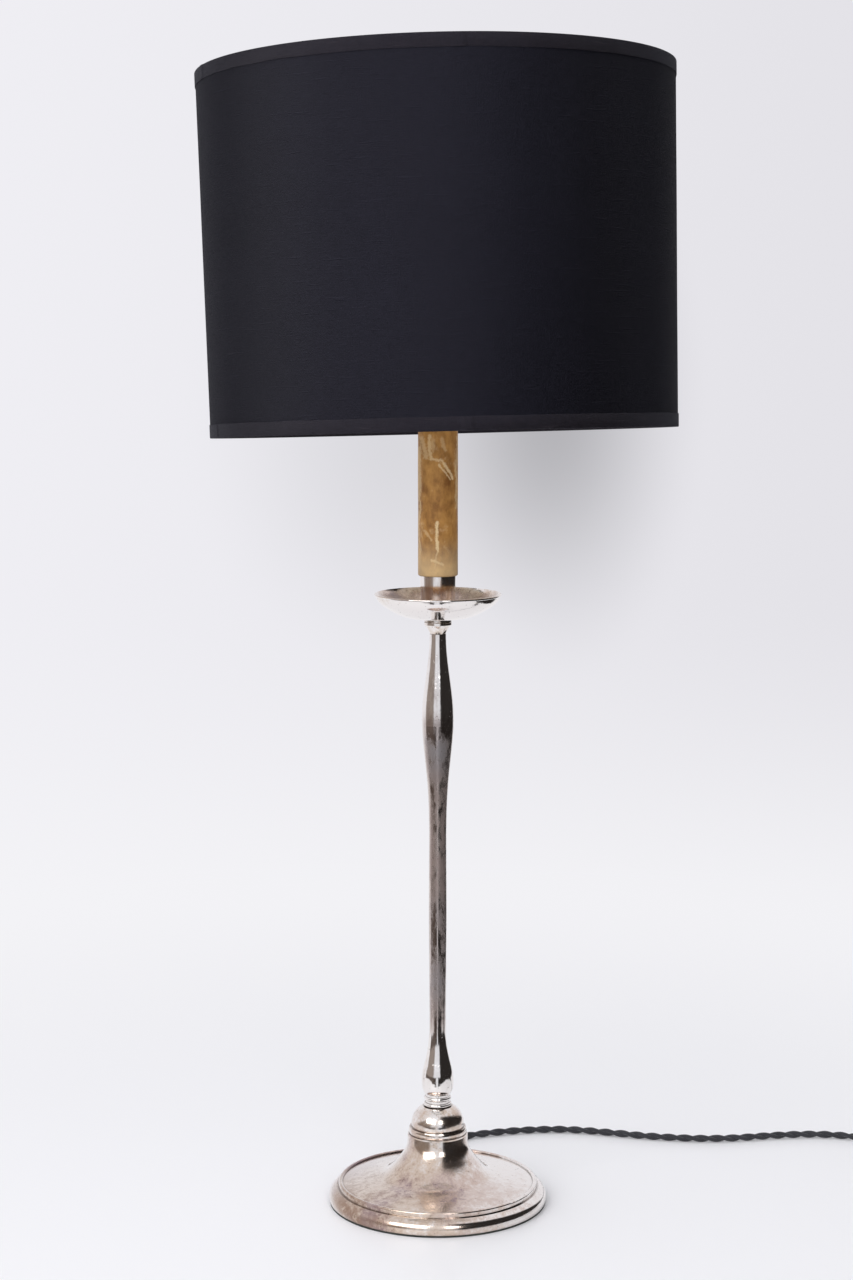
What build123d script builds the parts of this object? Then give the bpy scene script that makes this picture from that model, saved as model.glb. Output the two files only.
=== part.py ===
"""Candlestick table lamp: a silver-plated candlestick wired as a lamp under a drum shade.

Millimetres, +Z up.  The origin is the middle of the felt under the foot.  The lamp is seen from the
front along +Y with +X to the right, and its cord leaves at the back and runs off to the right.
Outlines of turned pieces are drawn as (radius, height) and revolved about +Z.
"""
from build123d import *
from math import atan2, cos, degrees, dist, hypot, radians, sin, sqrt, tan
import os

# ------------------------------------------------------------------ clearances
SLIP_GAP = 0.15           # radial gap between fixed pieces that slide together on assembly
RUN_GAP = 0.3             # gap between pieces that move on each other
GLUE_GAP = 0.05           # paste between the layers of the shade

# ------------------------------------------------------------------ foot
FELT_THICKNESS = 1.5
FELT_INSET = 0.7          # felt edge inside the foot's greatest radius
FOOT_RADIUS = 85.0
FOOT_WALL = 1.4
RIM_ROUND = 8.5           # radius of the rim's quarter round
RIM_ROUND_DROP = 3.0      # height of the quarter round's centre over the felt
RIM_STEP_INSET = 5.8      # rim's inner edge, in from the foot's radius
BEAD_RADIUS = 1.6         # half-round bead inside the rim
DISC_INSET = 10.6         # edge of the dished disc, in from the foot's radius
DISC_EDGE_RISE = 13.9     # disc edge over the felt
DISC_INNER_RADIUS = 46.0
DISC_INNER_RISE = 19.8    # disc over the felt where the trumpet neck begins
NECK_TOP_RADIUS = 23.5
NECK_TOP_RISE = 53.1      # neck top over the felt
NECK_EDGE_ROUND = 0.8
NECK_PLATE = 2.0          # thickness of the closed neck top
NECK_STATIONS = ((0.16, 0.40), (0.36, 0.66), (0.62, 0.92))   # shares of the way up, and in

WEIGHT_INSET = 5.2         # weight's edge inside the foot's radius
WEIGHT_BORE_RADIUS = 32.0
WEIGHT_HEIGHT = 9.0
WEIGHT_CHAMFER = 4.0
WEIGHT_SLOT_WIDTH = 10.4

# ------------------------------------------------------------------ lamp pipe and its nuts
PIPE_RADIUS = 5.0
PIPE_BORE_RADIUS = 3.6
PIPE_TAIL = 4.0           # pipe below the foot nut
FOOT_WASHER_RADIUS = 14.0
FOOT_WASHER_THICKNESS = 1.5
NUT_FLATS = 14.0
NUT_THICKNESS = 5.0
NUT_CHAMFER = 0.8

# ------------------------------------------------------------------ collar, reel and stem
COLLAR_BEAD_RADIUS = 22.6
COLLAR_BEAD_HEIGHT = 5.2
COLLAR_DOME_RADIUS = 20.3
COLLAR_HEIGHT = 21.8
COLLAR_TOP_RADIUS = 12.0
COLLAR_CAVITY_RADIUS = 16.0
COLLAR_CAVITY_HEIGHT = 9.0

REEL_RADIUS = 11.0
REEL_UPPER_RADIUS = 10.6
REEL_WAIST_RADIUS = 9.5
REEL_RING_HEIGHT = 3.2
REEL_WAIST_HEIGHT = 1.8

STEM_FOOT_RADIUS = 10.0
PEAR_RADIUS = 12.4
PEAR_HEIGHT = 11.0        # fullest point of the pear over the stem's foot
PEAR_NECK_RADIUS = 6.5
PEAR_NECK_HEIGHT = 53.0
SHAFT_RADIUS = 7.0        # slight swell in the middle of the shaft
SHAFT_HEIGHT = 154.0
WAIST_RADIUS = 6.75
WAIST_HEIGHT = 203.0
SWELL_RADIUS = 12.3       # long upper swell
SWELL_HEIGHT = 295.5
STEM_TOP_RADIUS = 6.4
STEM_HEIGHT = 361.0

CUP_RADIUS = 10.7         # small cup under the drip pan
CUP_FLARE_HEIGHT = 7.2
CUP_HEIGHT = 11.6
CUP_GROOVE = 0.5

# ------------------------------------------------------------------ drip pan and nozzle
PAN_RADIUS = 48.6
PAN_WALL = 1.2
PAN_DEPTH = 18.6          # rim over the pan's seat
PAN_SEAT_RADIUS = 12.0
PAN_LIP_ROUND = 0.9
NOZZLE_FOOT_RADIUS = 11.0
NOZZLE_TOP_RADIUS = 13.9
NOZZLE_HEIGHT = 32.0
NOZZLE_WALL = 1.0
NOZZLE_BELLY = 0.7        # how far the nozzle's side bows out of a straight cone
NOZZLE_SPIGOT_HEIGHT = 6.0

# ------------------------------------------------------------------ candle sleeve
SLEEVE_RADIUS = 15.3
SLEEVE_WALL = 1.7
SLEEVE_LENGTH = 152.4     # six inches
SLEEVE_FOOT_ROUND = 1.0
CAP_PLATE = 1.5
CAP_SPIGOT = 4.0

# ------------------------------------------------------------------ harp
SADDLE_STRIP = 1.2
SADDLE_WIDTH = 12.7
SADDLE_FLAT = 13.0        # half-length of the flat under the socket
TONGUE_X = 24.9           # middle of each tongue
TONGUE_HALF_WIDTH = 2.0
TONGUE_RISE = 17.6        # foot of the tongue over the saddle's underside
TONGUE_LENGTH = 20.0
HARP_WIRE_RADIUS = 1.65
HARP_HEIGHT = 178.0       # seven inches, saddle to shade seat
HARP_HALF_WIDTH = 57.0
HARP_LEG = 36.0           # straight leg over the tongue's foot
HARP_SHOULDER_DROP = 38.0
HARP_TOP_HALF_WIDTH = 32.0
HARP_BEND = 17.0
FERRULE_RADIUS = 3.9
FERRULE_WALL = 0.7
FERRULE_LENGTH = 16.0
FERRULE_OFFSET = 1.4      # ferrule axis outside the tongue's middle
SEAT_RADIUS = 7.5
SEAT_THICKNESS = 2.0
STUD_RADIUS = 3.175       # quarter-inch stud
STUD_LENGTH = 14.0
RIVET_RADIUS = 1.9
RIVET_HEAD_RADIUS = 3.2
EYE_RADIUS = 5.0
EYE_THICKNESS = 2.2

# ------------------------------------------------------------------ socket and bulb
SOCKET_NECK_RADIUS = 7.4
SOCKET_NECK_HEIGHT = 8.0
SOCKET_RADIUS = 17.2
SOCKET_SHEET = 0.6
SOCKET_CAP_HEIGHT = 21.0
SOCKET_SHELL_LAP = 5.0    # shell pushed into the cap
SOCKET_SHELL_HEIGHT = 42.0
LINER_THICKNESS = 0.5
LINER_SHORT = 2.0
SOCKET_BODY_HEIGHT = 15.0
TERMINAL_RADIUS = 2.6
TERMINAL_OFFSET = 9.5
THREAD_RADIUS = 13.3      # inside of the medium screw shell
THREAD_DEPTH = 0.5
THREAD_SHEET = 0.4
THREAD_PITCH = 3.6        # 7 to the inch
SCREW_TURNS = 5
CONTACT_RADIUS = 3.4
CONTACT_THICKNESS = 1.2
KEY_HEIGHT = 27.0         # turn key's axis over the saddle's top
KEY_SHAFT_RADIUS = 1.9
KEY_SHAFT_INSET = 6.0     # shaft held inside the socket body
KEY_SHAFT_LENGTH = 17.0
KEY_KNOB_RADIUS = 6.4
KEY_KNOB_LENGTH = 12.0
KEY_KNOB_FLAT = 3.2       # half-thickness of the flattened knob

BULB_RADIUS = 30.0
BULB_LENGTH = 110.0
BULB_NECK_RADIUS = 12.6
BULB_CAP_RADIUS = 12.9
BULB_CAP_LENGTH = 21.0
BULB_GLASS = 0.7
BULB_TIP_RADIUS = 4.6
BULB_TIP_HEIGHT = 1.6
BULB_INSULATOR_HEIGHT = 2.6

# ------------------------------------------------------------------ shade
SHADE_TOP_RADIUS = 178.0
SHADE_BOTTOM_RADIUS = 174.9
SHADE_HEIGHT = 268.2
SHADE_RECESS = 43.4       # hub below the shade's top edge
SHADE_LEAN_BACK = 2.8     # degrees, the top leans away from the front
SHADE_LEAN_SIDE = 1.45    # degrees, the right-hand side stands higher
SHADE_SHIFT = -1.1        # the hub's hole is loose on the stud, and hangs to the left
FABRIC_THICKNESS = 0.6
LINING_THICKNESS = 0.9
TRIM_HEIGHT = 10.0
TRIM_THICKNESS = 0.5
TRIM_INNER_HEIGHT = 3.0
RING_WIRE_RADIUS = 1.3
SPIDER_WIRE_RADIUS = 1.6
SPIDER_ARMS = 3
SPIDER_FIRST_ARM = 90.0   # degrees from +X, the first arm points to the back
SPIDER_HANGER = 7.0       # upright end of each arm under the ring
SPIDER_BEND = 5.0
HUB_RADIUS = 14.0
HUB_BORE_RADIUS = 4.7
HUB_THICKNESS = 1.5
HUB_ARM_START = 10.2
HUB_ARM_FLAT = 5.3        # flat foot of each arm, brazed on the hub

FINIAL_BALL_RADIUS = 7.0
FINIAL_WAIST_RADIUS = 4.6
FINIAL_WAIST_HEIGHT = 5.0
FINIAL_BASE_HEIGHT = 2.2
FINIAL_HOLE_RADIUS = 3.4

# ------------------------------------------------------------------ cord and plug
CORD_DIAMETER = 6.0
CORD_TOTAL = 1800.0       # free cord, exit to plug
CORD_EXIT_Z = 7.5
CORD_SIDES = 6            # the free cord's solid is a plain faceted tube
LEAD_BEND = 18.0          # bend of the inner lead under the pipe
GROMMET_RADIUS = 4.5
GROMMET_FLANGE_RADIUS = 5.6
GROMMET_FLANGE = 1.4
GROMMET_LENGTH = 9.5
CORD_ROUTE = (            # hand-picked points from the exit to the coil, x, y, z
    (0.0, 97.0, 7.5), (0.4, 109.2, 5.2), (2.4, 121.0, 3.1), (8.0, 132.4, 3.0), (16.6, 142.0, 3.0),
    (29.6, 149.8, 3.0), (50.0, 157.2, 3.0), (77.0, 163.6, 3.0), (110.0, 165.8, 3.0),
    (146.0, 156.6, 3.0), (184.0, 144.6, 3.0), (236.0, 138.4, 3.0), (292.0, 150.6, 3.0),
    (328.0, 152.6, 3.0), (362.0, 142.0, 3.0), (386.0, 137.6, 3.0),
)
CORD_RUN_END = (404.0, 137.6)
COIL_RADIUS = 39.0        # first half turn
COIL_HALF_TURNS = 12      # six turns in two layers
COIL_SIDE_GAP = 0.6
COIL_LAYER_GAP = 0.5
TAIL_ROUTE = (            # hand-picked steps from the coil's end to the plug, x, y, z
    (20.0, 0.0, 0.0), (37.6, -8.4, -3.2), (49.4, -23.2, -6.2), (54.4, -40.6, -5.4),
    (54.8, -56.8, -2.0), (54.8, -71.0, -2.0),
)
PLUG_WIDTH = 26.0
PLUG_LENGTH = 28.0
PLUG_HEIGHT = 15.0
PLUG_NECK_LENGTH = 8.0
PLUG_NECK_RADIUS = 4.4
PLUG_ROUND = 3.0
BLADE_SPACING = 12.7
BLADE_LENGTH = 17.0
BLADE_WIDTH = 6.3
BLADE_THICKNESS = 1.5

# ------------------------------------------------------------------ heights that follow from the stack
FOOT_Z = FELT_THICKNESS
NECK_TOP_Z = FOOT_Z + NECK_TOP_RISE
WASHER_Z = NECK_TOP_Z - NECK_PLATE - FOOT_WASHER_THICKNESS
FOOT_NUT_Z = WASHER_Z - NUT_THICKNESS
PIPE_BOTTOM_Z = FOOT_NUT_Z - PIPE_TAIL
REEL_Z = NECK_TOP_Z + COLLAR_HEIGHT
REEL_HEIGHT = 2 * (REEL_RING_HEIGHT + REEL_WAIST_HEIGHT)
STEM_Z = REEL_Z + REEL_HEIGHT
CUP_Z = STEM_Z + STEM_HEIGHT
PAN_Z = CUP_Z + CUP_HEIGHT
NOZZLE_Z = PAN_Z + PAN_WALL
SLEEVE_Z = NOZZLE_Z + NOZZLE_HEIGHT
SLEEVE_TOP_Z = SLEEVE_Z + SLEEVE_LENGTH
SADDLE_Z = SLEEVE_TOP_Z + CAP_PLATE
SOCKET_Z = SADDLE_Z + SADDLE_STRIP
PIPE_TOP_Z = SOCKET_Z + SOCKET_NECK_HEIGHT
SHELL_Z = SOCKET_Z + SOCKET_CAP_HEIGHT - SOCKET_SHELL_LAP
SOCKET_BODY_Z = SHELL_Z + LINER_SHORT
SCREW_SHELL_Z = SOCKET_BODY_Z + SOCKET_BODY_HEIGHT
CONTACT_TOP_Z = SCREW_SHELL_Z + CONTACT_THICKNESS
BULB_Z = CONTACT_TOP_Z + RUN_GAP
BULB_CAP_Z = BULB_Z + BULB_TIP_HEIGHT + BULB_INSULATOR_HEIGHT
BULB_GLASS_Z = BULB_CAP_Z + BULB_CAP_LENGTH
KEY_Z = SOCKET_Z + KEY_HEIGHT
TONGUE_Z = SADDLE_Z + TONGUE_RISE
HARP_FOOT_Z = TONGUE_Z + RUN_GAP
SEAT_TOP_Z = SADDLE_Z + HARP_HEIGHT
HARP_TOP_Z = SEAT_TOP_Z - SEAT_THICKNESS - EYE_THICKNESS / 2

PIPE_HOLE_RADIUS = PIPE_RADIUS + SLIP_GAP
CORD_RADIUS = CORD_DIAMETER / 2
SHADE_LEAN = hypot(SHADE_LEAN_BACK, SHADE_LEAN_SIDE)
HUB_LIFT = SEAT_RADIUS * tan(radians(SHADE_LEAN)) + RUN_GAP / 2   # a leaning hub clears its flat seat
HUB_Z = SEAT_TOP_Z + HUB_LIFT + HUB_THICKNESS / 2
FINIAL_Z = HUB_Z + HUB_THICKNESS / 2 + HUB_LIFT
SHADE_TOP_Z = HUB_Z + SHADE_RECESS
SHADE_BOTTOM_Z = SHADE_TOP_Z - SHADE_HEIGHT
LINING_INSET = FABRIC_THICKNESS + GLUE_GAP
RING_INSET = LINING_INSET + LINING_THICKNESS + RING_WIRE_RADIUS + GLUE_GAP
RING_DROP = TRIM_THICKNESS + RING_WIRE_RADIUS + GLUE_GAP
GROMMET_FACE_Y = FOOT_RADIUS + GROMMET_FLANGE
HARP_LEG_X = TONGUE_X + SADDLE_STRIP / 2 + HARP_WIRE_RADIUS + GLUE_GAP
SCREW_SHELL_HEIGHT = SCREW_TURNS * THREAD_PITCH


# ------------------------------------------------------------------ helpers
def turned(*curves):
    """Solid of revolution about +Z from curves that close an outline of (radius, height)."""
    return revolve(Plane.XZ * make_face(Curve() + list(curves)), axis=Axis.Z)


def ring(outer, inner, bottom, height):
    """Plain tube or washer about +Z."""
    tube = Cylinder(outer, height) - Cylinder(inner, height)
    return Pos(Z=bottom + height / 2) * tube


def drill(x, y, z, radius, length, direction):
    """Straight round hole that starts at a point and goes the given way."""
    hole = extrude(Circle(radius), length)
    return Plane(origin=(x, y, z), z_dir=direction) * hole


def inset(points, wall):
    """The same stations moved to the left of their line of travel by one wall."""
    moved = []
    for index, (r, z) in enumerate(points):
        r0, z0 = points[max(index - 1, 0)]
        r1, z1 = points[min(index + 1, len(points) - 1)]
        run = hypot(r1 - r0, z1 - z0)
        moved.append((r - wall * (z1 - z0) / run, z + wall * (r1 - r0) / run))
    return moved


def hex_nut(bottom):
    """Hexagonal lock nut on the lamp pipe, with its corners turned off."""
    across = NUT_FLATS / cos(radians(30)) / 2
    blank = extrude(RegularPolygon(across, 6), NUT_THICKNESS)
    corners = Cone(across + NUT_THICKNESS - NUT_CHAMFER, across - NUT_CHAMFER, NUT_THICKNESS)
    blank = blank & Pos(Z=NUT_THICKNESS / 2) * corners
    return Pos(Z=bottom) * (blank - Cylinder(PIPE_HOLE_RADIUS, 3 * NUT_THICKNESS))


def flip_x(part):
    """The same piece on the lamp's other side."""
    return mirror(part, about=Plane.YZ)


def lean(part):
    """Hang a shade piece, drawn upright about +Z, crooked on its hub."""
    turn = Rot(Y=-SHADE_LEAN_SIDE) * Rot(X=-SHADE_LEAN_BACK)
    return Pos(SHADE_SHIFT, 0, HUB_Z) * turn * Pos(0, 0, -HUB_Z) * part


def shade_radius(z, layer=0.0):
    """Radius of the shade's outer face at a height, less a layer's thickness."""
    share = (z - SHADE_BOTTOM_Z) / SHADE_HEIGHT
    return SHADE_BOTTOM_RADIUS + share * (SHADE_TOP_RADIUS - SHADE_BOTTOM_RADIUS) - layer


# ------------------------------------------------------------------ foot
def felt_pad():
    """Felt disc under the foot."""
    return Pos(Z=FELT_THICKNESS / 2) * Cylinder(FOOT_RADIUS - FELT_INSET, FELT_THICKNESS)


def neck_stations():
    """Points of the trumpet from the disc up to the neck's top edge."""
    low_r, low_z = DISC_INNER_RADIUS, FOOT_Z + DISC_INNER_RISE
    top_r, top_z = NECK_TOP_RADIUS, NECK_TOP_Z - NECK_EDGE_ROUND
    middle = [(low_r + (top_r - low_r) * inward, low_z + (top_z - low_z) * up)
              for up, inward in NECK_STATIONS]
    return [(low_r, low_z), *middle, (top_r, top_z)]


def foot_shell():
    """Spun foot: quarter-round rim, bead, dished disc and trumpet neck, open below."""
    round_r, round_z = FOOT_RADIUS - RIM_ROUND, FOOT_Z + RIM_ROUND_DROP
    edge_r = round_r + sqrt(RIM_ROUND ** 2 - RIM_ROUND_DROP ** 2)
    step_r = FOOT_RADIUS - RIM_STEP_INSET
    step_z = round_z + sqrt(RIM_ROUND ** 2 - (step_r - round_r) ** 2)
    disc = (FOOT_RADIUS - DISC_INSET, FOOT_Z + DISC_EDGE_RISE)
    bead_r = disc[0] + BEAD_RADIUS
    neck = neck_stations()
    outer = [
        ThreePointArc((edge_r, FOOT_Z), (FOOT_RADIUS, round_z), (step_r, step_z)),
        Polyline((step_r, step_z), (bead_r + BEAD_RADIUS, step_z), (bead_r + BEAD_RADIUS, disc[1])),
        ThreePointArc((bead_r + BEAD_RADIUS, disc[1]), (bead_r, disc[1] + BEAD_RADIUS), disc),
        Line(disc, neck[0]),
        Spline(*neck, tangents=[(neck[0][0] - disc[0], neck[0][1] - disc[1]), (0, 1)]),
        Line(neck[-1], (NECK_TOP_RADIUS - NECK_EDGE_ROUND, NECK_TOP_Z)),
    ]
    inner_round = RIM_ROUND - FOOT_WALL
    inner_edge = round_r + sqrt(inner_round ** 2 - RIM_ROUND_DROP ** 2)
    inner_step = (step_r - FOOT_WALL, round_z + inner_round * 0.9)
    inner_neck = inset(neck, FOOT_WALL)
    ceiling = (inner_neck[-1][0], NECK_TOP_Z - NECK_PLATE)
    inner = [
        Polyline((NECK_TOP_RADIUS - NECK_EDGE_ROUND, NECK_TOP_Z), (PIPE_HOLE_RADIUS, NECK_TOP_Z),
                 (PIPE_HOLE_RADIUS, ceiling[1]), ceiling),
        Line(ceiling, inner_neck[-2]),
        Spline(*inner_neck[-2::-1]),
        Polyline(inner_neck[0], (disc[0], disc[1] - FOOT_WALL), inner_step,
                 (round_r + inner_round, round_z), (inner_edge, FOOT_Z), (edge_r, FOOT_Z)),
    ]
    hole = drill(0, round_r, CORD_EXIT_Z, GROMMET_RADIUS + GLUE_GAP, 2 * RIM_ROUND, (0, 1, 0))
    return turned(*outer, *inner) - hole


def base_weight():
    """Cast-iron ring that loads the foot, slotted at the back for the lead."""
    radius = FOOT_RADIUS - WEIGHT_INSET
    top = FOOT_Z + WEIGHT_HEIGHT
    blank = turned(Polyline(
        (WEIGHT_BORE_RADIUS, FOOT_Z), (radius, FOOT_Z), (radius, top - WEIGHT_CHAMFER),
        (radius - WEIGHT_CHAMFER, top), (WEIGHT_BORE_RADIUS, top), (WEIGHT_BORE_RADIUS, FOOT_Z)))
    slot = Pos(0, FOOT_RADIUS / 2, FOOT_Z) * Box(WEIGHT_SLOT_WIDTH, FOOT_RADIUS, 4 * WEIGHT_HEIGHT)
    return blank - slot


def cord_grommet():
    """Flanged bush in the back of the rim, round the cord."""
    bore = CORD_RADIUS + SLIP_GAP
    start = GROMMET_FACE_Y - GROMMET_LENGTH
    body = drill(0, start, CORD_EXIT_Z, GROMMET_RADIUS, GROMMET_LENGTH, (0, 1, 0))
    flange = drill(0, FOOT_RADIUS, CORD_EXIT_Z, GROMMET_FLANGE_RADIUS, GROMMET_FLANGE, (0, 1, 0))
    return body + flange - drill(0, 0, CORD_EXIT_Z, bore, 2 * FOOT_RADIUS, (0, 1, 0))


def foot_washer():
    """Washer under the neck's top."""
    return ring(FOOT_WASHER_RADIUS, PIPE_HOLE_RADIUS, WASHER_Z, FOOT_WASHER_THICKNESS)


def foot_nut():
    """Nut that pulls the pipe down and clamps the whole column."""
    return hex_nut(FOOT_NUT_Z)


# ------------------------------------------------------------------ column
def foot_collar():
    """Domed collar with a bead at its foot, bored for the pipe and hollow below."""
    base, top = NECK_TOP_Z, REEL_Z
    bead_top = base + COLLAR_BEAD_HEIGHT
    dome_mid = (COLLAR_DOME_RADIUS - 1.9, base + 0.72 * COLLAR_HEIGHT)
    edge = 0.6
    cavity_top = base + COLLAR_CAVITY_HEIGHT
    return turned(
        Line((COLLAR_CAVITY_RADIUS, base), (COLLAR_BEAD_RADIUS - edge, base)),
        ThreePointArc((COLLAR_BEAD_RADIUS - edge, base), (COLLAR_BEAD_RADIUS, (base + bead_top) / 2),
                      (COLLAR_BEAD_RADIUS - edge, bead_top)),
        Line((COLLAR_BEAD_RADIUS - edge, bead_top), (COLLAR_DOME_RADIUS, bead_top)),
        ThreePointArc((COLLAR_DOME_RADIUS, bead_top), dome_mid, (COLLAR_TOP_RADIUS, top)),
        Polyline((COLLAR_TOP_RADIUS, top), (PIPE_HOLE_RADIUS, top),
                 (PIPE_HOLE_RADIUS, (cavity_top + top) / 2), (COLLAR_CAVITY_RADIUS, cavity_top),
                 (COLLAR_CAVITY_RADIUS, base)),
    )


def reel_curves():
    """Outline of two rounded rings with a waist over each, up to the stem's foot."""
    curves = []
    z = REEL_Z
    for radius in (REEL_RADIUS, REEL_UPPER_RADIUS):
        ring_top = z + REEL_RING_HEIGHT
        waist_top = ring_top + REEL_WAIST_HEIGHT
        curves += [
            ThreePointArc((REEL_WAIST_RADIUS, z), (radius, z + REEL_RING_HEIGHT / 2),
                          (REEL_WAIST_RADIUS, ring_top)),
            Line((REEL_WAIST_RADIUS, ring_top), (REEL_WAIST_RADIUS, waist_top)),
        ]
        z = waist_top
    return [*curves, Line((REEL_WAIST_RADIUS, z), (STEM_FOOT_RADIUS, z))]


def stem():
    """Baluster stem: ringed reel, pear, slim shaft and long upper swell, bored for the pipe."""
    pear = (PEAR_RADIUS, STEM_Z + PEAR_HEIGHT)
    neck = (PEAR_NECK_RADIUS, STEM_Z + PEAR_NECK_HEIGHT)
    shaft = (SHAFT_RADIUS, STEM_Z + SHAFT_HEIGHT)
    waist = (WAIST_RADIUS, STEM_Z + WAIST_HEIGHT)
    swell = (SWELL_RADIUS, STEM_Z + SWELL_HEIGHT)
    top = (STEM_TOP_RADIUS, STEM_Z + STEM_HEIGHT)
    upright = [(0, 1), (0, 1)]

    def between(low, high, share_r, share_z):
        """A point part of the way from one station to the next."""
        return (low[0] + (high[0] - low[0]) * share_r, low[1] + (high[1] - low[1]) * share_z)

    return turned(
        Line((PIPE_HOLE_RADIUS, REEL_Z), (REEL_WAIST_RADIUS, REEL_Z)),
        *reel_curves(),
        Spline((STEM_FOOT_RADIUS, STEM_Z), between((STEM_FOOT_RADIUS, STEM_Z), pear, 0.75, 0.33), pear,
               tangents=[(0.8, 1), (0, 1)]),
        Spline(pear, between(pear, neck, 0.49, 0.38), between(pear, neck, 0.92, 0.74), neck,
               tangents=upright),
        Spline(neck, shaft, waist, tangents=upright),
        Spline(waist, between(waist, swell, 0.33, 0.51), between(waist, swell, 0.88, 0.83), swell,
               tangents=upright),
        Spline(swell, between(swell, top, 0.42, 0.44), between(swell, top, 0.96, 0.86), top,
               tangents=upright),
        Line(top, (PIPE_HOLE_RADIUS, top[1])),
        Line((PIPE_HOLE_RADIUS, top[1]), (PIPE_HOLE_RADIUS, REEL_Z)),
    )


def neck_cup():
    """Small flared cup with a double ring, which the drip pan sits on."""
    flare_top = CUP_Z + CUP_FLARE_HEIGHT
    groove_z = (flare_top + PAN_Z) / 2
    return turned(
        Line((PIPE_HOLE_RADIUS, CUP_Z), (STEM_TOP_RADIUS - 0.3, CUP_Z)),
        ThreePointArc((STEM_TOP_RADIUS - 0.3, CUP_Z),
                      ((STEM_TOP_RADIUS + CUP_RADIUS) / 2 - 0.5, CUP_Z + 0.55 * CUP_FLARE_HEIGHT),
                      (CUP_RADIUS, flare_top)),
        Polyline((CUP_RADIUS, flare_top), (CUP_RADIUS, groove_z - CUP_GROOVE),
                 (CUP_RADIUS - CUP_GROOVE, groove_z), (CUP_RADIUS, groove_z + CUP_GROOVE),
                 (CUP_RADIUS, PAN_Z), (PIPE_HOLE_RADIUS, PAN_Z), (PIPE_HOLE_RADIUS, CUP_Z)),
    )


def drip_pan():
    """Shallow round saucer with a rounded lip."""
    lip = (PAN_RADIUS - PAN_LIP_ROUND, PAN_Z + PAN_DEPTH)
    under = [(PAN_SEAT_RADIUS, PAN_Z),
             (0.55 * PAN_RADIUS, PAN_Z + 0.11 * PAN_DEPTH),
             (0.80 * PAN_RADIUS, PAN_Z + 0.43 * PAN_DEPTH),
             (lip[0] + PAN_LIP_ROUND / 2, lip[1] - PAN_LIP_ROUND)]
    above = inset(under, PAN_WALL)
    above[0] = (PAN_SEAT_RADIUS, PAN_Z + PAN_WALL)
    return turned(
        Line((PIPE_HOLE_RADIUS, PAN_Z), under[0]),
        Spline(*under, tangents=[(1, 0), (0.45, 1)]),
        ThreePointArc(under[-1], (lip[0] + PAN_LIP_ROUND, lip[1] + 0.2), (lip[0], lip[1] + PAN_LIP_ROUND)),
        Line((lip[0], lip[1] + PAN_LIP_ROUND), above[-1]),
        Spline(*above[::-1], tangents=[(-0.45, -1), (-1, 0)]),
        Polyline(above[0], (PIPE_HOLE_RADIUS, NOZZLE_Z), (PIPE_HOLE_RADIUS, PAN_Z)),
    )


def candle_nozzle():
    """Tapered candle cup with a spigot that the sleeve slides over."""
    spigot = SLEEVE_RADIUS - SLEEVE_WALL - SLIP_GAP
    belly = ((NOZZLE_FOOT_RADIUS + NOZZLE_TOP_RADIUS) / 2 + NOZZLE_BELLY, (NOZZLE_Z + SLEEVE_Z) / 2)
    floor = NOZZLE_Z + 1.5 * NOZZLE_WALL
    return turned(
        Line((PIPE_HOLE_RADIUS, NOZZLE_Z), (NOZZLE_FOOT_RADIUS, NOZZLE_Z)),
        ThreePointArc((NOZZLE_FOOT_RADIUS, NOZZLE_Z), belly, (NOZZLE_TOP_RADIUS, SLEEVE_Z)),
        Polyline((NOZZLE_TOP_RADIUS, SLEEVE_Z), (spigot, SLEEVE_Z),
                 (spigot, SLEEVE_Z + NOZZLE_SPIGOT_HEIGHT),
                 (spigot - NOZZLE_WALL, SLEEVE_Z + NOZZLE_SPIGOT_HEIGHT),
                 (spigot - NOZZLE_WALL, SLEEVE_Z - NOZZLE_WALL),
                 (belly[0] - NOZZLE_WALL - 0.2, belly[1]),
                 (NOZZLE_FOOT_RADIUS - NOZZLE_WALL, floor), (PIPE_HOLE_RADIUS, floor),
                 (PIPE_HOLE_RADIUS, NOZZLE_Z)),
    )


def nozzle_nut():
    """Nut inside the nozzle that holds pan and nozzle on the stem."""
    return hex_nut(NOZZLE_Z + 1.5 * NOZZLE_WALL)


def candle_sleeve():
    """Plain waxy tube that stands for the candle."""
    inner = SLEEVE_RADIUS - SLEEVE_WALL
    bottom, top = SLEEVE_Z, SLEEVE_TOP_Z
    return turned(
        Line((inner, bottom), (SLEEVE_RADIUS - SLEEVE_FOOT_ROUND, bottom)),
        RadiusArc((SLEEVE_RADIUS - SLEEVE_FOOT_ROUND, bottom), (SLEEVE_RADIUS, bottom + SLEEVE_FOOT_ROUND),
                  -SLEEVE_FOOT_ROUND),
        Polyline((SLEEVE_RADIUS, bottom + SLEEVE_FOOT_ROUND), (SLEEVE_RADIUS, top), (inner, top),
                 (inner, bottom)),
    )


def sleeve_cap():
    """Check ring that closes the sleeve and centres it on the pipe."""
    plate = ring(SLEEVE_RADIUS - SLIP_GAP, PIPE_HOLE_RADIUS, SLEEVE_TOP_Z, CAP_PLATE)
    spigot_radius = SLEEVE_RADIUS - SLEEVE_WALL - SLIP_GAP
    return plate + ring(spigot_radius, PIPE_HOLE_RADIUS, SLEEVE_TOP_Z - CAP_SPIGOT, CAP_SPIGOT)


def lamp_pipe():
    """Threaded brass pipe that holds the column together and carries the lead."""
    return ring(PIPE_RADIUS, PIPE_BORE_RADIUS, PIPE_BOTTOM_Z, PIPE_TOP_Z - PIPE_BOTTOM_Z)


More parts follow.
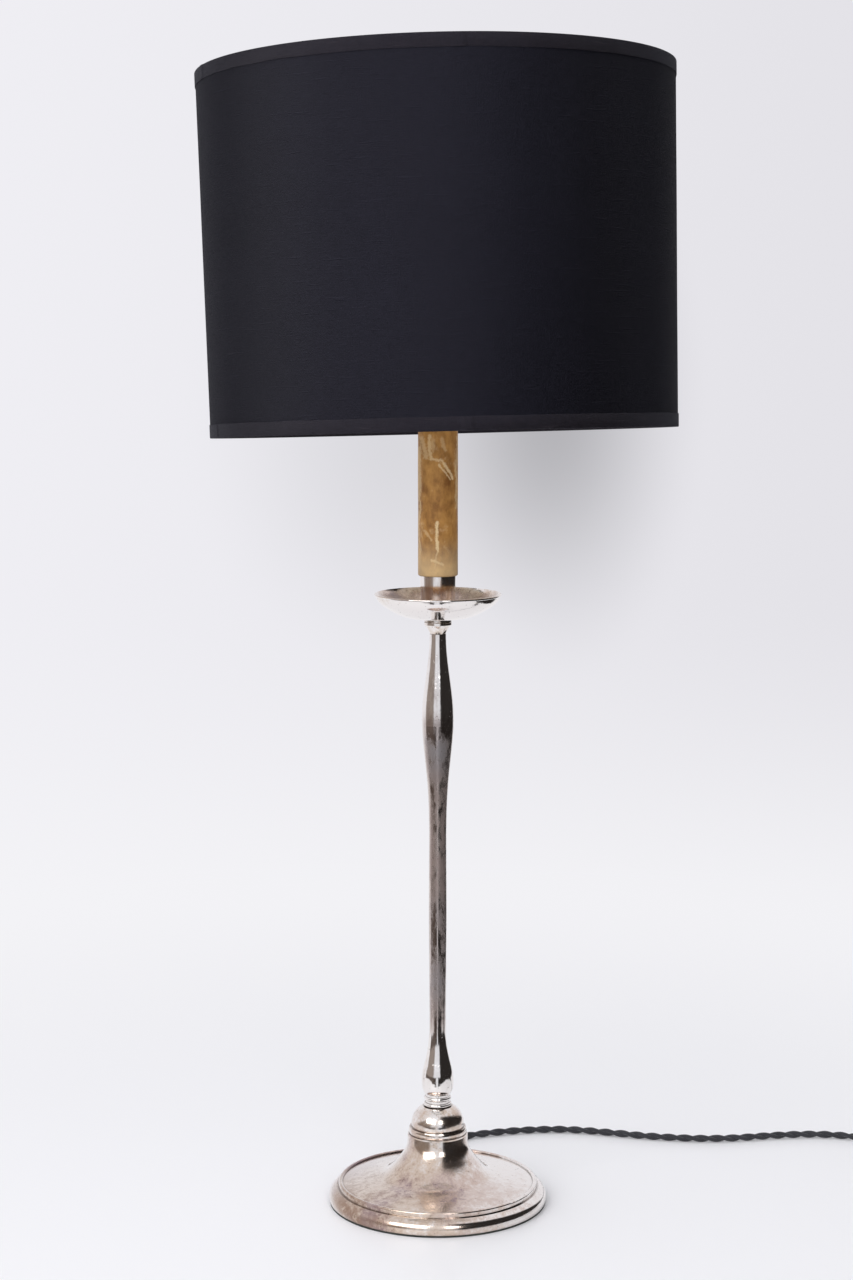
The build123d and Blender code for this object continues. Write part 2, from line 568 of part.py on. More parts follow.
# ------------------------------------------------------------------ harp
def harp_saddle():
    """Bent strip under the socket, with a narrow upright tongue at each end."""
    mid_z = SADDLE_Z + SADDLE_STRIP / 2
    corner = (SADDLE_FLAT, mid_z)
    knee = (TONGUE_X, TONGUE_Z - 6.0)
    half = Curve() + Line((0, mid_z), corner) + Line(corner, knee) + Line(knee, (TONGUE_X, TONGUE_Z))
    arm = extrude(Plane.XZ * trace(half, SADDLE_STRIP), SADDLE_WIDTH / 2, both=True)
    tongue = Pos(TONGUE_X, 0, TONGUE_Z + TONGUE_LENGTH / 2 - 1.0) * Box(
        SADDLE_STRIP, 2 * TONGUE_HALF_WIDTH, TONGUE_LENGTH + 2.0)
    side = arm + tongue
    return side + flip_x(side) - Pos(Z=mid_z) * Cylinder(PIPE_HOLE_RADIUS, 4 * SADDLE_STRIP)


def harp_bow():
    """Wire bow from one tongue over the bulb to the other, flattened to an eye on top."""
    shoulder_z = HARP_TOP_Z - HARP_SHOULDER_DROP
    hip_z = HARP_FOOT_Z + HARP_LEG + 30.0
    half = [(HARP_LEG_X, 0, HARP_FOOT_Z), (HARP_LEG_X, 0, HARP_FOOT_Z + HARP_LEG),
            (HARP_HALF_WIDTH, 0, hip_z), (HARP_HALF_WIDTH, 0, shoulder_z),
            (HARP_TOP_HALF_WIDTH, 0, HARP_TOP_Z)]
    points = half + [(-x, y, z) for x, y, z in half[::-1]]
    path = FilletPolyline(*points, radius=HARP_BEND)
    wire = sweep(Plane(origin=points[0], z_dir=(0, 0, 1)) * Circle(HARP_WIRE_RADIUS), path=path)
    eye = Pos(Z=HARP_TOP_Z) * Cylinder(EYE_RADIUS, EYE_THICKNESS)
    flat = Pos(Z=HARP_TOP_Z + EYE_THICKNESS) * Box(4 * EYE_RADIUS, 4 * EYE_RADIUS, EYE_THICKNESS)
    under = Pos(Z=HARP_TOP_Z - EYE_THICKNESS) * Box(2 * EYE_RADIUS, 4 * EYE_RADIUS, EYE_THICKNESS)
    hole = Pos(Z=HARP_TOP_Z) * Cylinder(RIVET_RADIUS + GLUE_GAP, 4 * EYE_THICKNESS)
    return wire + eye - flat - under - hole


def harp_stud():
    """Shade seat with its quarter-inch stud, riveted through the bow's eye."""
    eye_top = HARP_TOP_Z + EYE_THICKNESS / 2
    eye_bottom = HARP_TOP_Z - EYE_THICKNESS / 2
    seat = Pos(Z=eye_top + SEAT_THICKNESS / 2) * Cylinder(SEAT_RADIUS, SEAT_THICKNESS)
    stud = Pos(Z=SEAT_TOP_Z + STUD_LENGTH / 2) * Cylinder(STUD_RADIUS, STUD_LENGTH)
    rivet = Pos(Z=HARP_TOP_Z) * Cylinder(RIVET_RADIUS, EYE_THICKNESS)
    head = Pos(Z=eye_bottom - SADDLE_STRIP / 2) * Cylinder(RIVET_HEAD_RADIUS, SADDLE_STRIP)
    return seat + stud + rivet + head


def ferrule_right():
    """Sliding sleeve that locks the bow's foot to its tongue."""
    tube = ring(FERRULE_RADIUS, FERRULE_RADIUS - FERRULE_WALL, HARP_FOOT_Z, FERRULE_LENGTH)
    return Pos(X=TONGUE_X + FERRULE_OFFSET) * tube


def ferrule_left():
    """The same sleeve on the other foot."""
    return flip_x(ferrule_right())


# ------------------------------------------------------------------ socket
def key_hole(radius):
    """Hole for the turn key's shaft in the front of a socket piece."""
    return drill(0, 0, KEY_Z, radius, 2 * SOCKET_RADIUS, (0, -1, 0))


def socket_cap():
    """Pressed brass cap, screwed on the pipe."""
    neck_top = SOCKET_Z + 0.35 * SOCKET_CAP_HEIGHT
    rim_z = SOCKET_Z + 0.72 * SOCKET_CAP_HEIGHT
    top = SOCKET_Z + SOCKET_CAP_HEIGHT
    inner_neck = SOCKET_NECK_RADIUS - SOCKET_SHEET
    inner = SOCKET_RADIUS - SOCKET_SHEET
    return turned(
        Polyline((PIPE_HOLE_RADIUS, SOCKET_Z), (SOCKET_NECK_RADIUS, SOCKET_Z),
                 (SOCKET_NECK_RADIUS, neck_top)),
        ThreePointArc((SOCKET_NECK_RADIUS, neck_top), (0.86 * SOCKET_RADIUS, (neck_top + rim_z) / 2),
                      (SOCKET_RADIUS, rim_z)),
        Polyline((SOCKET_RADIUS, rim_z), (SOCKET_RADIUS, top), (inner, top), (inner, rim_z)),
        ThreePointArc((inner, rim_z), (0.86 * SOCKET_RADIUS - SOCKET_SHEET, (neck_top + rim_z) / 2 + 0.4),
                      (inner_neck, neck_top + SOCKET_SHEET)),
        Polyline((inner_neck, neck_top + SOCKET_SHEET), (PIPE_HOLE_RADIUS, neck_top + SOCKET_SHEET),
                 (PIPE_HOLE_RADIUS, SOCKET_Z)),
    )


def socket_shell():
    """Pressed brass shell round the socket, lapped into the cap."""
    outer = SOCKET_RADIUS - SOCKET_SHEET - SLIP_GAP
    shell = ring(outer, outer - SOCKET_SHEET, SHELL_Z, SOCKET_SHELL_HEIGHT)
    return shell - key_hole(KEY_SHAFT_RADIUS + 2 * RUN_GAP)


def socket_liner():
    """Paper tube that insulates the shell from the screw shell."""
    outer = SOCKET_RADIUS - 2 * SOCKET_SHEET - 2 * SLIP_GAP
    liner = ring(outer, outer - LINER_THICKNESS, SHELL_Z, SOCKET_SHELL_HEIGHT - LINER_SHORT)
    return liner - key_hole(KEY_SHAFT_RADIUS + 2 * RUN_GAP)


def socket_body():
    """Moulded block with the switch inside, notched at the sides for its terminals."""
    radius = SOCKET_RADIUS - 2 * SOCKET_SHEET - 3 * SLIP_GAP - LINER_THICKNESS
    block = Pos(Z=SOCKET_BODY_Z + SOCKET_BODY_HEIGHT / 2) * Cylinder(radius, SOCKET_BODY_HEIGHT)
    notch_height = SOCKET_BODY_HEIGHT / 2
    for side in (1, -1):
        notch = Box(radius, 3 * TERMINAL_RADIUS, notch_height)
        block -= Pos(side * (TERMINAL_OFFSET + radius / 2), 0, SOCKET_BODY_Z + notch_height / 2) * notch
    return block - drill(0, 0, KEY_Z, KEY_SHAFT_RADIUS + RUN_GAP / 3, 2 * radius, (0, -1, 0))


def terminal_screws():
    """Two binding screws, one in each notch of the socket body."""
    z = SOCKET_BODY_Z + SOCKET_BODY_HEIGHT / 4
    screws = [drill(side * TERMINAL_OFFSET, 0, z, TERMINAL_RADIUS, 2.0, (side, 0, 0)) for side in (1, -1)]
    return Compound(children=screws)


def screw_shell():
    """Rolled shell that takes the bulb's cap: one ridge for each turn of thread."""
    crest = THREAD_RADIUS + THREAD_DEPTH
    inner, outer = [], []
    z = SCREW_SHELL_Z
    for _ in range(SCREW_TURNS):
        for radius, rise in ((THREAD_RADIUS, 0.0), (crest, THREAD_PITCH / 2)):
            inner.append((radius, z + rise))
            outer.append((radius + THREAD_SHEET, z + rise))
        z += THREAD_PITCH
    inner.append((THREAD_RADIUS, z))
    outer.append((THREAD_RADIUS + THREAD_SHEET, z))
    floor = [(CONTACT_RADIUS + 2.0, SCREW_SHELL_Z), (CONTACT_RADIUS + 2.0, SCREW_SHELL_Z + THREAD_SHEET),
             (THREAD_RADIUS, SCREW_SHELL_Z + THREAD_SHEET)]
    return turned(Polyline(*floor, *inner[1:], *outer[::-1], floor[0]))


def centre_contact():
    """Contact button in the bottom of the socket."""
    return Pos(Z=SCREW_SHELL_Z + CONTACT_THICKNESS / 2) * Cylinder(CONTACT_RADIUS, CONTACT_THICKNESS)


def switch_key():
    """Turn key: shaft into the socket body and a flattened knob."""
    start = SOCKET_RADIUS - KEY_SHAFT_INSET
    knob_start = start + KEY_SHAFT_LENGTH
    shaft = drill(0, -start, KEY_Z, KEY_SHAFT_RADIUS, KEY_SHAFT_LENGTH + 2.0, (0, -1, 0))
    knob = drill(0, -knob_start, KEY_Z, KEY_KNOB_RADIUS, KEY_KNOB_LENGTH, (0, -1, 0))
    flats = Pos(0, -knob_start - KEY_KNOB_LENGTH / 2 - 1.5, KEY_Z) * Box(
        2 * KEY_KNOB_FLAT, KEY_KNOB_LENGTH - 3.0, 4 * KEY_KNOB_RADIUS)
    collar = drill(0, -knob_start, KEY_Z, KEY_KNOB_RADIUS, 3.0, (0, -1, 0))
    return shaft + (knob & flats) + collar


# ------------------------------------------------------------------ bulb
def bulb_glass():
    """Pear-shaped envelope, open into its cap."""
    centre_z = BULB_Z + BULB_LENGTH - BULB_RADIUS
    bottom = BULB_GLASS_Z
    meet = (BULB_RADIUS * cos(radians(28)), centre_z - BULB_RADIUS * sin(radians(28)))
    inner_r = BULB_RADIUS - BULB_GLASS
    inner_meet = (inner_r * cos(radians(28)), centre_z - inner_r * sin(radians(28)))
    slope = (sin(radians(28)), cos(radians(28)))
    neck_in = BULB_NECK_RADIUS - BULB_GLASS
    return turned(
        Line((neck_in, bottom), (BULB_NECK_RADIUS, bottom)),
        Spline((BULB_NECK_RADIUS, bottom), meet, tangents=[(0, 1), slope]),
        ThreePointArc(meet, (BULB_RADIUS * cos(radians(35)), centre_z + BULB_RADIUS * sin(radians(35))),
                      (0, centre_z + BULB_RADIUS)),
        Line((0, centre_z + BULB_RADIUS), (0, centre_z + inner_r)),
        ThreePointArc((0, centre_z + inner_r), (inner_r * cos(radians(35)), centre_z + inner_r * sin(radians(35))),
                      inner_meet),
        Spline(inner_meet, (neck_in, bottom), tangents=[(-slope[0], -slope[1]), (0, -1)]),
    )


def bulb_cap():
    """Screw cap of the bulb: one ridge for each turn that sits in the screw shell."""
    root = BULB_CAP_RADIUS - THREAD_DEPTH
    points = [(root - 1.5, BULB_CAP_Z)]
    z = BULB_CAP_Z
    for _ in range(SCREW_TURNS):
        points += [(root, z + 0.2 * THREAD_PITCH), (BULB_CAP_RADIUS, z + 0.6 * THREAD_PITCH)]
        z += THREAD_PITCH
    points += [(root, z), (BULB_CAP_RADIUS, z + 0.4), (BULB_CAP_RADIUS, BULB_GLASS_Z),
               (0, BULB_GLASS_Z), (0, BULB_CAP_Z), points[0]]
    return turned(Polyline(*points))


def bulb_insulator():
    """Glass insulator round the bulb's tip."""
    top, bottom = BULB_CAP_Z, BULB_CAP_Z - BULB_INSULATOR_HEIGHT
    return turned(Polyline((0, bottom), (BULB_TIP_RADIUS + 0.6, bottom),
                           (BULB_CAP_RADIUS - THREAD_DEPTH - 1.5, top), (0, top), (0, bottom)))


def bulb_tip():
    """Solder contact at the bulb's foot."""
    return Pos(Z=BULB_Z + BULB_TIP_HEIGHT / 2) * Cylinder(BULB_TIP_RADIUS - 1.0, BULB_TIP_HEIGHT)


# ------------------------------------------------------------------ shade
def cone_layer(outset, thickness):
    """Upright layer of the shade: its outer face lies inside the shade's by outset."""
    bottom = SHADE_BOTTOM_Z + TRIM_THICKNESS + GLUE_GAP
    top = SHADE_TOP_Z - TRIM_THICKNESS - GLUE_GAP
    outline = [(shade_radius(bottom, outset), bottom), (shade_radius(top, outset), top),
               (shade_radius(top, outset + thickness), top),
               (shade_radius(bottom, outset + thickness), bottom)]
    return turned(Polyline(*outline, outline[0]))


def shade_fabric():
    """Outer cloth of the drum."""
    return lean(cone_layer(0.0, FABRIC_THICKNESS))


def shade_lining():
    """Stiff pale lining that the cloth is pasted to."""
    return lean(cone_layer(LINING_INSET, LINING_THICKNESS))


def trim(edge_z, inward):
    """Folded tape over one edge: inward is -1 below a top edge, 1 above a bottom edge."""
    long_end = edge_z + inward * TRIM_HEIGHT
    short_end = edge_z + inward * TRIM_INNER_HEIGHT
    outer = -TRIM_THICKNESS - GLUE_GAP
    inner = RING_INSET + RING_WIRE_RADIUS + GLUE_GAP
    close = edge_z + inward * TRIM_THICKNESS
    outline = [(shade_radius(long_end, outer), long_end), (shade_radius(edge_z, outer), edge_z),
               (shade_radius(edge_z, inner + TRIM_THICKNESS), edge_z),
               (shade_radius(short_end, inner + TRIM_THICKNESS), short_end),
               (shade_radius(short_end, inner), short_end), (shade_radius(close, inner), close),
               (shade_radius(close, -GLUE_GAP), close), (shade_radius(long_end, -GLUE_GAP), long_end)]
    return turned(Polyline(*outline, outline[0]))


def shade_trim_top():
    """Tape round the top edge."""
    return lean(trim(SHADE_TOP_Z, -1))


def shade_trim_bottom():
    """Tape round the bottom edge."""
    return lean(trim(SHADE_BOTTOM_Z, 1))


def wire_ring(z):
    """Wire ring inside the shade at a height."""
    return Pos(Z=z) * Torus(shade_radius(z, RING_INSET), RING_WIRE_RADIUS)


def shade_ring_top():
    """Upper wire ring, which the spider hangs from."""
    return lean(wire_ring(SHADE_TOP_Z - RING_DROP))


def shade_ring_bottom():
    """Lower wire ring."""
    return lean(wire_ring(SHADE_BOTTOM_Z + RING_DROP))


def shade_hub():
    """Plain washer that the shade hangs from."""
    return lean(ring(HUB_RADIUS, HUB_BORE_RADIUS, HUB_Z - HUB_THICKNESS / 2, HUB_THICKNESS))


def spider_arm(index):
    """One wire arm from the hub's top face out to the underside of the upper ring."""
    ring_under = SHADE_TOP_Z - RING_DROP - RING_WIRE_RADIUS
    reach = shade_radius(ring_under, RING_INSET) + RING_WIRE_RADIUS - SPIDER_WIRE_RADIUS
    arm_z = HUB_Z + HUB_THICKNESS / 2 + GLUE_GAP + SPIDER_WIRE_RADIUS
    path = FilletPolyline((HUB_ARM_START, 0, arm_z), (HUB_ARM_START + HUB_ARM_FLAT, 0, arm_z),
                          (reach, 0, ring_under - SPIDER_HANGER), (reach, 0, ring_under), radius=SPIDER_BEND)
    start = Plane(origin=(HUB_ARM_START, 0, arm_z), x_dir=(0, 1, 0), z_dir=(1, 0, 0))
    arm = sweep(start * Circle(SPIDER_WIRE_RADIUS), path=path)
    return lean(Rot(Z=SPIDER_FIRST_ARM + index * 360 / SPIDER_ARMS) * arm)


def spider_arm_back():
    """Arm that points to the back."""
    return spider_arm(0)


def spider_arm_left():
    """Arm that points to the left and a little forward."""
    return spider_arm(1)


def spider_arm_right():
    """Arm that points to the right and a little forward."""
    return spider_arm(2)


def finial():
    """Turned brass nut that holds the hub down on the stud."""
    base_top = FINIAL_Z + FINIAL_BASE_HEIGHT
    waist_top = base_top + FINIAL_WAIST_HEIGHT
    half = sqrt(FINIAL_BALL_RADIUS ** 2 - FINIAL_WAIST_RADIUS ** 2)
    ball_z = waist_top + half
    hole_top = SEAT_TOP_Z + STUD_LENGTH + 1.0
    body = turned(
        Polyline((0, FINIAL_Z), (SEAT_RADIUS, FINIAL_Z), (SEAT_RADIUS, base_top),
                 (FINIAL_WAIST_RADIUS, waist_top)),
        ThreePointArc((FINIAL_WAIST_RADIUS, waist_top), (FINIAL_BALL_RADIUS, ball_z),
                      (0, ball_z + FINIAL_BALL_RADIUS)),
        Line((0, ball_z + FINIAL_BALL_RADIUS), (0, FINIAL_Z)),
    )
    depth = hole_top - FINIAL_Z
    return body - Pos(Z=FINIAL_Z + depth / 2) * Cylinder(FINIAL_HOLE_RADIUS, depth)


# ------------------------------------------------------------------ cord
def corner_radii(points):
    """Arc at each corner of a route: 0.45 of the shorter run over the tangent of half the turn."""
    radii = []
    for before, corner, after in zip(points, points[1:], points[2:]):
        arriving = Vector(*corner) - Vector(*before)
        leaving = Vector(*after) - Vector(*corner)
        half_turn = radians(arriving.get_angle(leaving)) / 2
        radii.append(0.45 * min(arriving.length, leaving.length) / tan(half_turn))
    return radii


def loose_cord(name, points):
    """Round tube along a route of straight runs and tangent arcs; prints its radii and volume."""
    radii = corner_radii(points)
    path = FilletPolyline(*points, radius=radii)
    way = Vector(*points[1]) - Vector(*points[0])
    start = Plane(origin=points[0], x_dir=way.cross(Vector(0, 0, 1)), z_dir=way)
    tube = sweep(start * RegularPolygon(CORD_RADIUS, CORD_SIDES), path=path)
    section = RegularPolygon(CORD_RADIUS, CORD_SIDES).area
    print(name, "length", round(path.length, 1), "radii", [round(radius) for radius in radii],
          "volume share", round(tube.volume / (section * path.length), 4))
    return tube, path.length


def inner_lead():
    """Lead from the socket down the pipe and out of the back of the foot."""
    start = (0, 0, SOCKET_BODY_Z - RUN_GAP)
    path = FilletPolyline(start, (0, 0, CORD_EXIT_Z), (0, GROMMET_FACE_Y, CORD_EXIT_Z), radius=LEAD_BEND)
    return sweep(Plane(origin=start, z_dir=(0, 0, -1)) * Circle(CORD_RADIUS), path=path)


def cord_run_points():
    """Route from the grommet to the coil."""
    exit_point = (0.0, GROMMET_FACE_Y, CORD_EXIT_Z)
    return [exit_point, *CORD_ROUTE, (*CORD_RUN_END, CORD_RADIUS)]


def biarc(start, start_way, end, end_way):
    """Two quarter-turn arcs that leave and arrive the given ways."""
    chord = end - start
    reach = chord.length / 2
    middle = (start + end + (start_way - end_way) * reach) * 0.5
    way = ((end - end_way * reach) - (start + start_way * reach)).normalized()
    return [TangentArc(start, middle, tangent=start_way), TangentArc(middle, end, tangent=way)]


def coil_path():
    """Spiral in on the floor, a climbing half turn, and the spiral out on top of it."""
    side_pitch = CORD_DIAMETER + COIL_SIDE_GAP
    layer_pitch = CORD_DIAMETER + COIL_LAYER_GAP
    climb = COIL_HALF_TURNS // 2 - 1
    point = Vector(*CORD_RUN_END, CORD_RADIUS)
    way = Vector(1, 0, 0)
    across = Vector(0, -1, 0)
    turn_start = point + way * CORD_DIAMETER
    edges = [Line(point, turn_start)]
    for index in range(COIL_HALF_TURNS):
        radius = COIL_RADIUS - side_pitch / 2 * (climb - abs(index - climb))
        turn_end = turn_start + across * (2 * radius)
        if index == climb:
            turn_end += Vector(0, 0, layer_pitch)
            edges += biarc(turn_start, way, turn_end, -way)
        else:
            edges.append(TangentArc(turn_start, turn_end, tangent=way))
        turn_start, way, across = turn_end, -way, -across
    edges.append(Line(turn_start, turn_start + way * CORD_DIAMETER))
    return edges


def least_gap(edges, steps=36):
    """Least distance between a tube's turns, less its diameter, on points along its line."""
    points, lengths, run = [], [], 0.0
    for edge in edges:
        for step in range(steps):
            points.append(tuple(edge @ (step / steps)))
            lengths.append(run + edge.length * step / steps)
        run += edge.length
    near = 4 * CORD_DIAMETER
    gaps = [dist(points[i], points[j])
            for i in range(len(points)) for j in range(i + 1, len(points)) if lengths[j] - lengths[i] > near]
    return min(gaps) - CORD_DIAMETER, run


def cord_coil():
    """Put-away length: one unbroken tube in six turns, two layers of three."""
    edges = coil_path()
    gap, length = least_gap(edges)
    print("coil length", round(length, 1), "least gap to itself", round(gap, 3))
    start = Plane(origin=edges[0] @ 0, x_dir=(0, 1, 0), z_dir=edges[0] % 0)
    section = start * RegularPolygon(CORD_RADIUS, CORD_SIDES)
    return sweep(section, path=Wire(edges)), length


def cord_tail_points():
    """Route from the coil's end to the plug's neck."""
    end = coil_path()[-1] @ 1
    return [tuple(end), *(tuple(end + Vector(*step)) for step in TAIL_ROUTE)]


def plug_body():
    """Moulded two-blade plug with a round neck, lying on the floor."""
    x, y, z = cord_tail_points()[-1]
    neck = drill(x, y, z, PLUG_NECK_RADIUS, PLUG_NECK_LENGTH + PLUG_ROUND, (0, -1, 0))
    block_length = PLUG_LENGTH - PLUG_NECK_LENGTH
    block = fillet(Box(PLUG_WIDTH, block_length, PLUG_HEIGHT).edges().filter_by(Axis.Y), PLUG_ROUND)
    return neck + Pos(x, y - PLUG_NECK_LENGTH - block_length / 2, PLUG_HEIGHT / 2) * block


def plug_blades():
    """Two flat blades that stand on the plug's front face."""
    x, y, _ = cord_tail_points()[-1]
    middle_y = y - PLUG_LENGTH - BLADE_LENGTH / 2
    blade = Box(BLADE_THICKNESS, BLADE_LENGTH, BLADE_WIDTH)
    blades = [Pos(x + side * BLADE_SPACING / 2, middle_y, PLUG_HEIGHT / 2) * blade for side in (1, -1)]
    return Compound(children=blades)


# ------------------------------------------------------------------ build
def main():
    """Make every piece and write one file for each."""
    run, run_length = loose_cord("run", cord_run_points())
    tail, tail_length = loose_cord("tail", cord_tail_points())
    coil, coil_length = cord_coil()
    print("free cord", round(run_length + tail_length + coil_length, 1), "wanted", CORD_TOTAL)
    makers = (
        felt_pad, foot_shell, base_weight, cord_grommet, foot_washer, foot_nut,
        foot_collar, stem, neck_cup, drip_pan, candle_nozzle, nozzle_nut,
        candle_sleeve, sleeve_cap, lamp_pipe,
        harp_saddle, harp_bow, harp_stud, ferrule_left, ferrule_right,
        socket_cap, socket_shell, socket_liner, socket_body, terminal_screws, screw_shell,
        centre_contact, switch_key, bulb_glass, bulb_cap, bulb_insulator, bulb_tip,
        shade_fabric, shade_lining, shade_trim_top, shade_trim_bottom, shade_ring_top,
        shade_ring_bottom, shade_hub, spider_arm_back, spider_arm_left, spider_arm_right, finial,
        inner_lead, plug_body, plug_blades,
    )
    pieces = {maker.__name__: maker() for maker in makers}
    pieces.update(cord_run=run, cord_coil=coil, cord_tail=tail)
    os.makedirs("parts", exist_ok=True)
    for name, piece in pieces.items():
        export_step(piece, f"parts/{name}.step")


main()
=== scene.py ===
"""Candlestick table lamp under a black drum shade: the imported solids, dressed and lit on a pale floor.

Sizes in the dataclasses are millimetres and angles are degrees, unless their names say otherwise.
Meshes are made in metres, in the frame's own axes: +Z up, the front towards -Y.
"""
from __future__ import annotations

import logging
import math
from dataclasses import dataclass
from enum import Enum
from typing import Callable, Sequence

import bmesh
import bpy
from mathutils import Matrix, Vector, noise

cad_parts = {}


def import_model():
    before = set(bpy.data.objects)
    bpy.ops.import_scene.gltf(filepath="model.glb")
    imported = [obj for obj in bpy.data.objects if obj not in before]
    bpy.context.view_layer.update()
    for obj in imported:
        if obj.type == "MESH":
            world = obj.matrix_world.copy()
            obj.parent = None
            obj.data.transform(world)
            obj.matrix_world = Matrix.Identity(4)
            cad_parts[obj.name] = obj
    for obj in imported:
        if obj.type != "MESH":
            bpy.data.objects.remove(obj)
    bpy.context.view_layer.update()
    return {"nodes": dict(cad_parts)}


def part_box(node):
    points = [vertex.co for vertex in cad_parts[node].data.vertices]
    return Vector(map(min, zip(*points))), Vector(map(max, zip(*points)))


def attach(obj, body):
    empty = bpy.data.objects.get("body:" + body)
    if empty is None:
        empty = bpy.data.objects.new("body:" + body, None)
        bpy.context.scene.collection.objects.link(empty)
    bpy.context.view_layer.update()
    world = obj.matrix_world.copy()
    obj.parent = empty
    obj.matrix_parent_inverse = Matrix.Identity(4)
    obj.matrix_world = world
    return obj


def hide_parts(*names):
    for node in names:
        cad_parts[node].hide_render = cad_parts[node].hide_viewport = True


LOG = logging.getLogger("candlestick_lamp")
MM = 0.001
Triple = tuple[float, float, float]
Colour = Triple
Point = tuple[float, float]
Edges = tuple[float, float, float, float]


class Slot(Enum):
    """Names of the record's material slots for the pieces made here."""

    CANDLE = "amber_candle"
    CORD = "cord_cloth"
    SHADE = "shade_cloth"
    BACKING = "shade_backing"
    TRIM = "trim_cloth"


# --------------------------------------------------------------------------- shader building
class Signal:
    """A number that changes over a surface: arithmetic on it adds Math nodes."""

    def __init__(self, board: Board, socket: bpy.types.NodeSocket) -> None:
        """Wraps an output socket of one board."""
        self.board = board
        self.socket = socket

    def _math(self, operation: str, *values: Signal | float) -> Signal:
        """Adds one Math node.

        Args:
            operation: the Math node's operation.
            values: its inputs, in order.

        Returns:
            The node's result.
        """
        node = self.board.node("ShaderNodeMath", {"operation": operation}, dict(enumerate(values)))
        return Signal(self.board, node.outputs[0])

    def __add__(self, other: Signal | float) -> Signal:
        """Sum."""
        return self._math("ADD", self, other)

    def __radd__(self, other: float) -> Signal:
        """Sum with a plain number on the left."""
        return self._math("ADD", other, self)

    def __sub__(self, other: Signal | float) -> Signal:
        """Difference."""
        return self._math("SUBTRACT", self, other)

    def __rsub__(self, other: float) -> Signal:
        """Difference with a plain number on the left."""
        return self._math("SUBTRACT", other, self)

    def __mul__(self, other: Signal | float) -> Signal:
        """Product."""
        return self._math("MULTIPLY", self, other)

    def __rmul__(self, other: float) -> Signal:
        """Product with a plain number on the left."""
        return self._math("MULTIPLY", other, self)

    def __truediv__(self, other: Signal | float) -> Signal:
        """Quotient."""
        return self._math("DIVIDE", self, other)

    def __rtruediv__(self, other: float) -> Signal:
        """Quotient with a plain number on the left."""
        return self._math("DIVIDE", other, self)

    def __pow__(self, other: float) -> Signal:
        """Power."""
        return self._math("POWER", self, other)

    def sine(self) -> Signal:
        """Sine of the signal in radians."""
        return self._math("SINE", self)

    def larger(self, other: Signal | float) -> Signal:
        """The larger of two values."""
        return self._math("MAXIMUM", self, other)

    def held(self) -> Signal:
        """The signal held within 0 and 1."""
        return self._math("MINIMUM", self.larger(0.0), 1.0)

    def ramp(self, start: float, end: float) -> Signal:
        """Smooth step.

        Args:
            start: value that gives 0.
            end: value that gives 1; it may be below start.

        Returns:
            The eased share between them, held within 0 and 1.
        """
        node = self.board.node(
            "ShaderNodeMapRange",
            {"interpolation_type": "SMOOTHSTEP", "clamp": True},
            {"Value": self, "From Min": start, "From Max": end, "To Min": 0.0, "To Max": 1.0},
        )
        return Signal(self.board, node.outputs[0])

    def between(self, start: float, full: float, waning: float, end: float) -> Signal:
        """Smooth band: 0 up to start, 1 from full to waning, and 0 again past end."""
        return self.ramp(start, full) * self.ramp(end, waning)


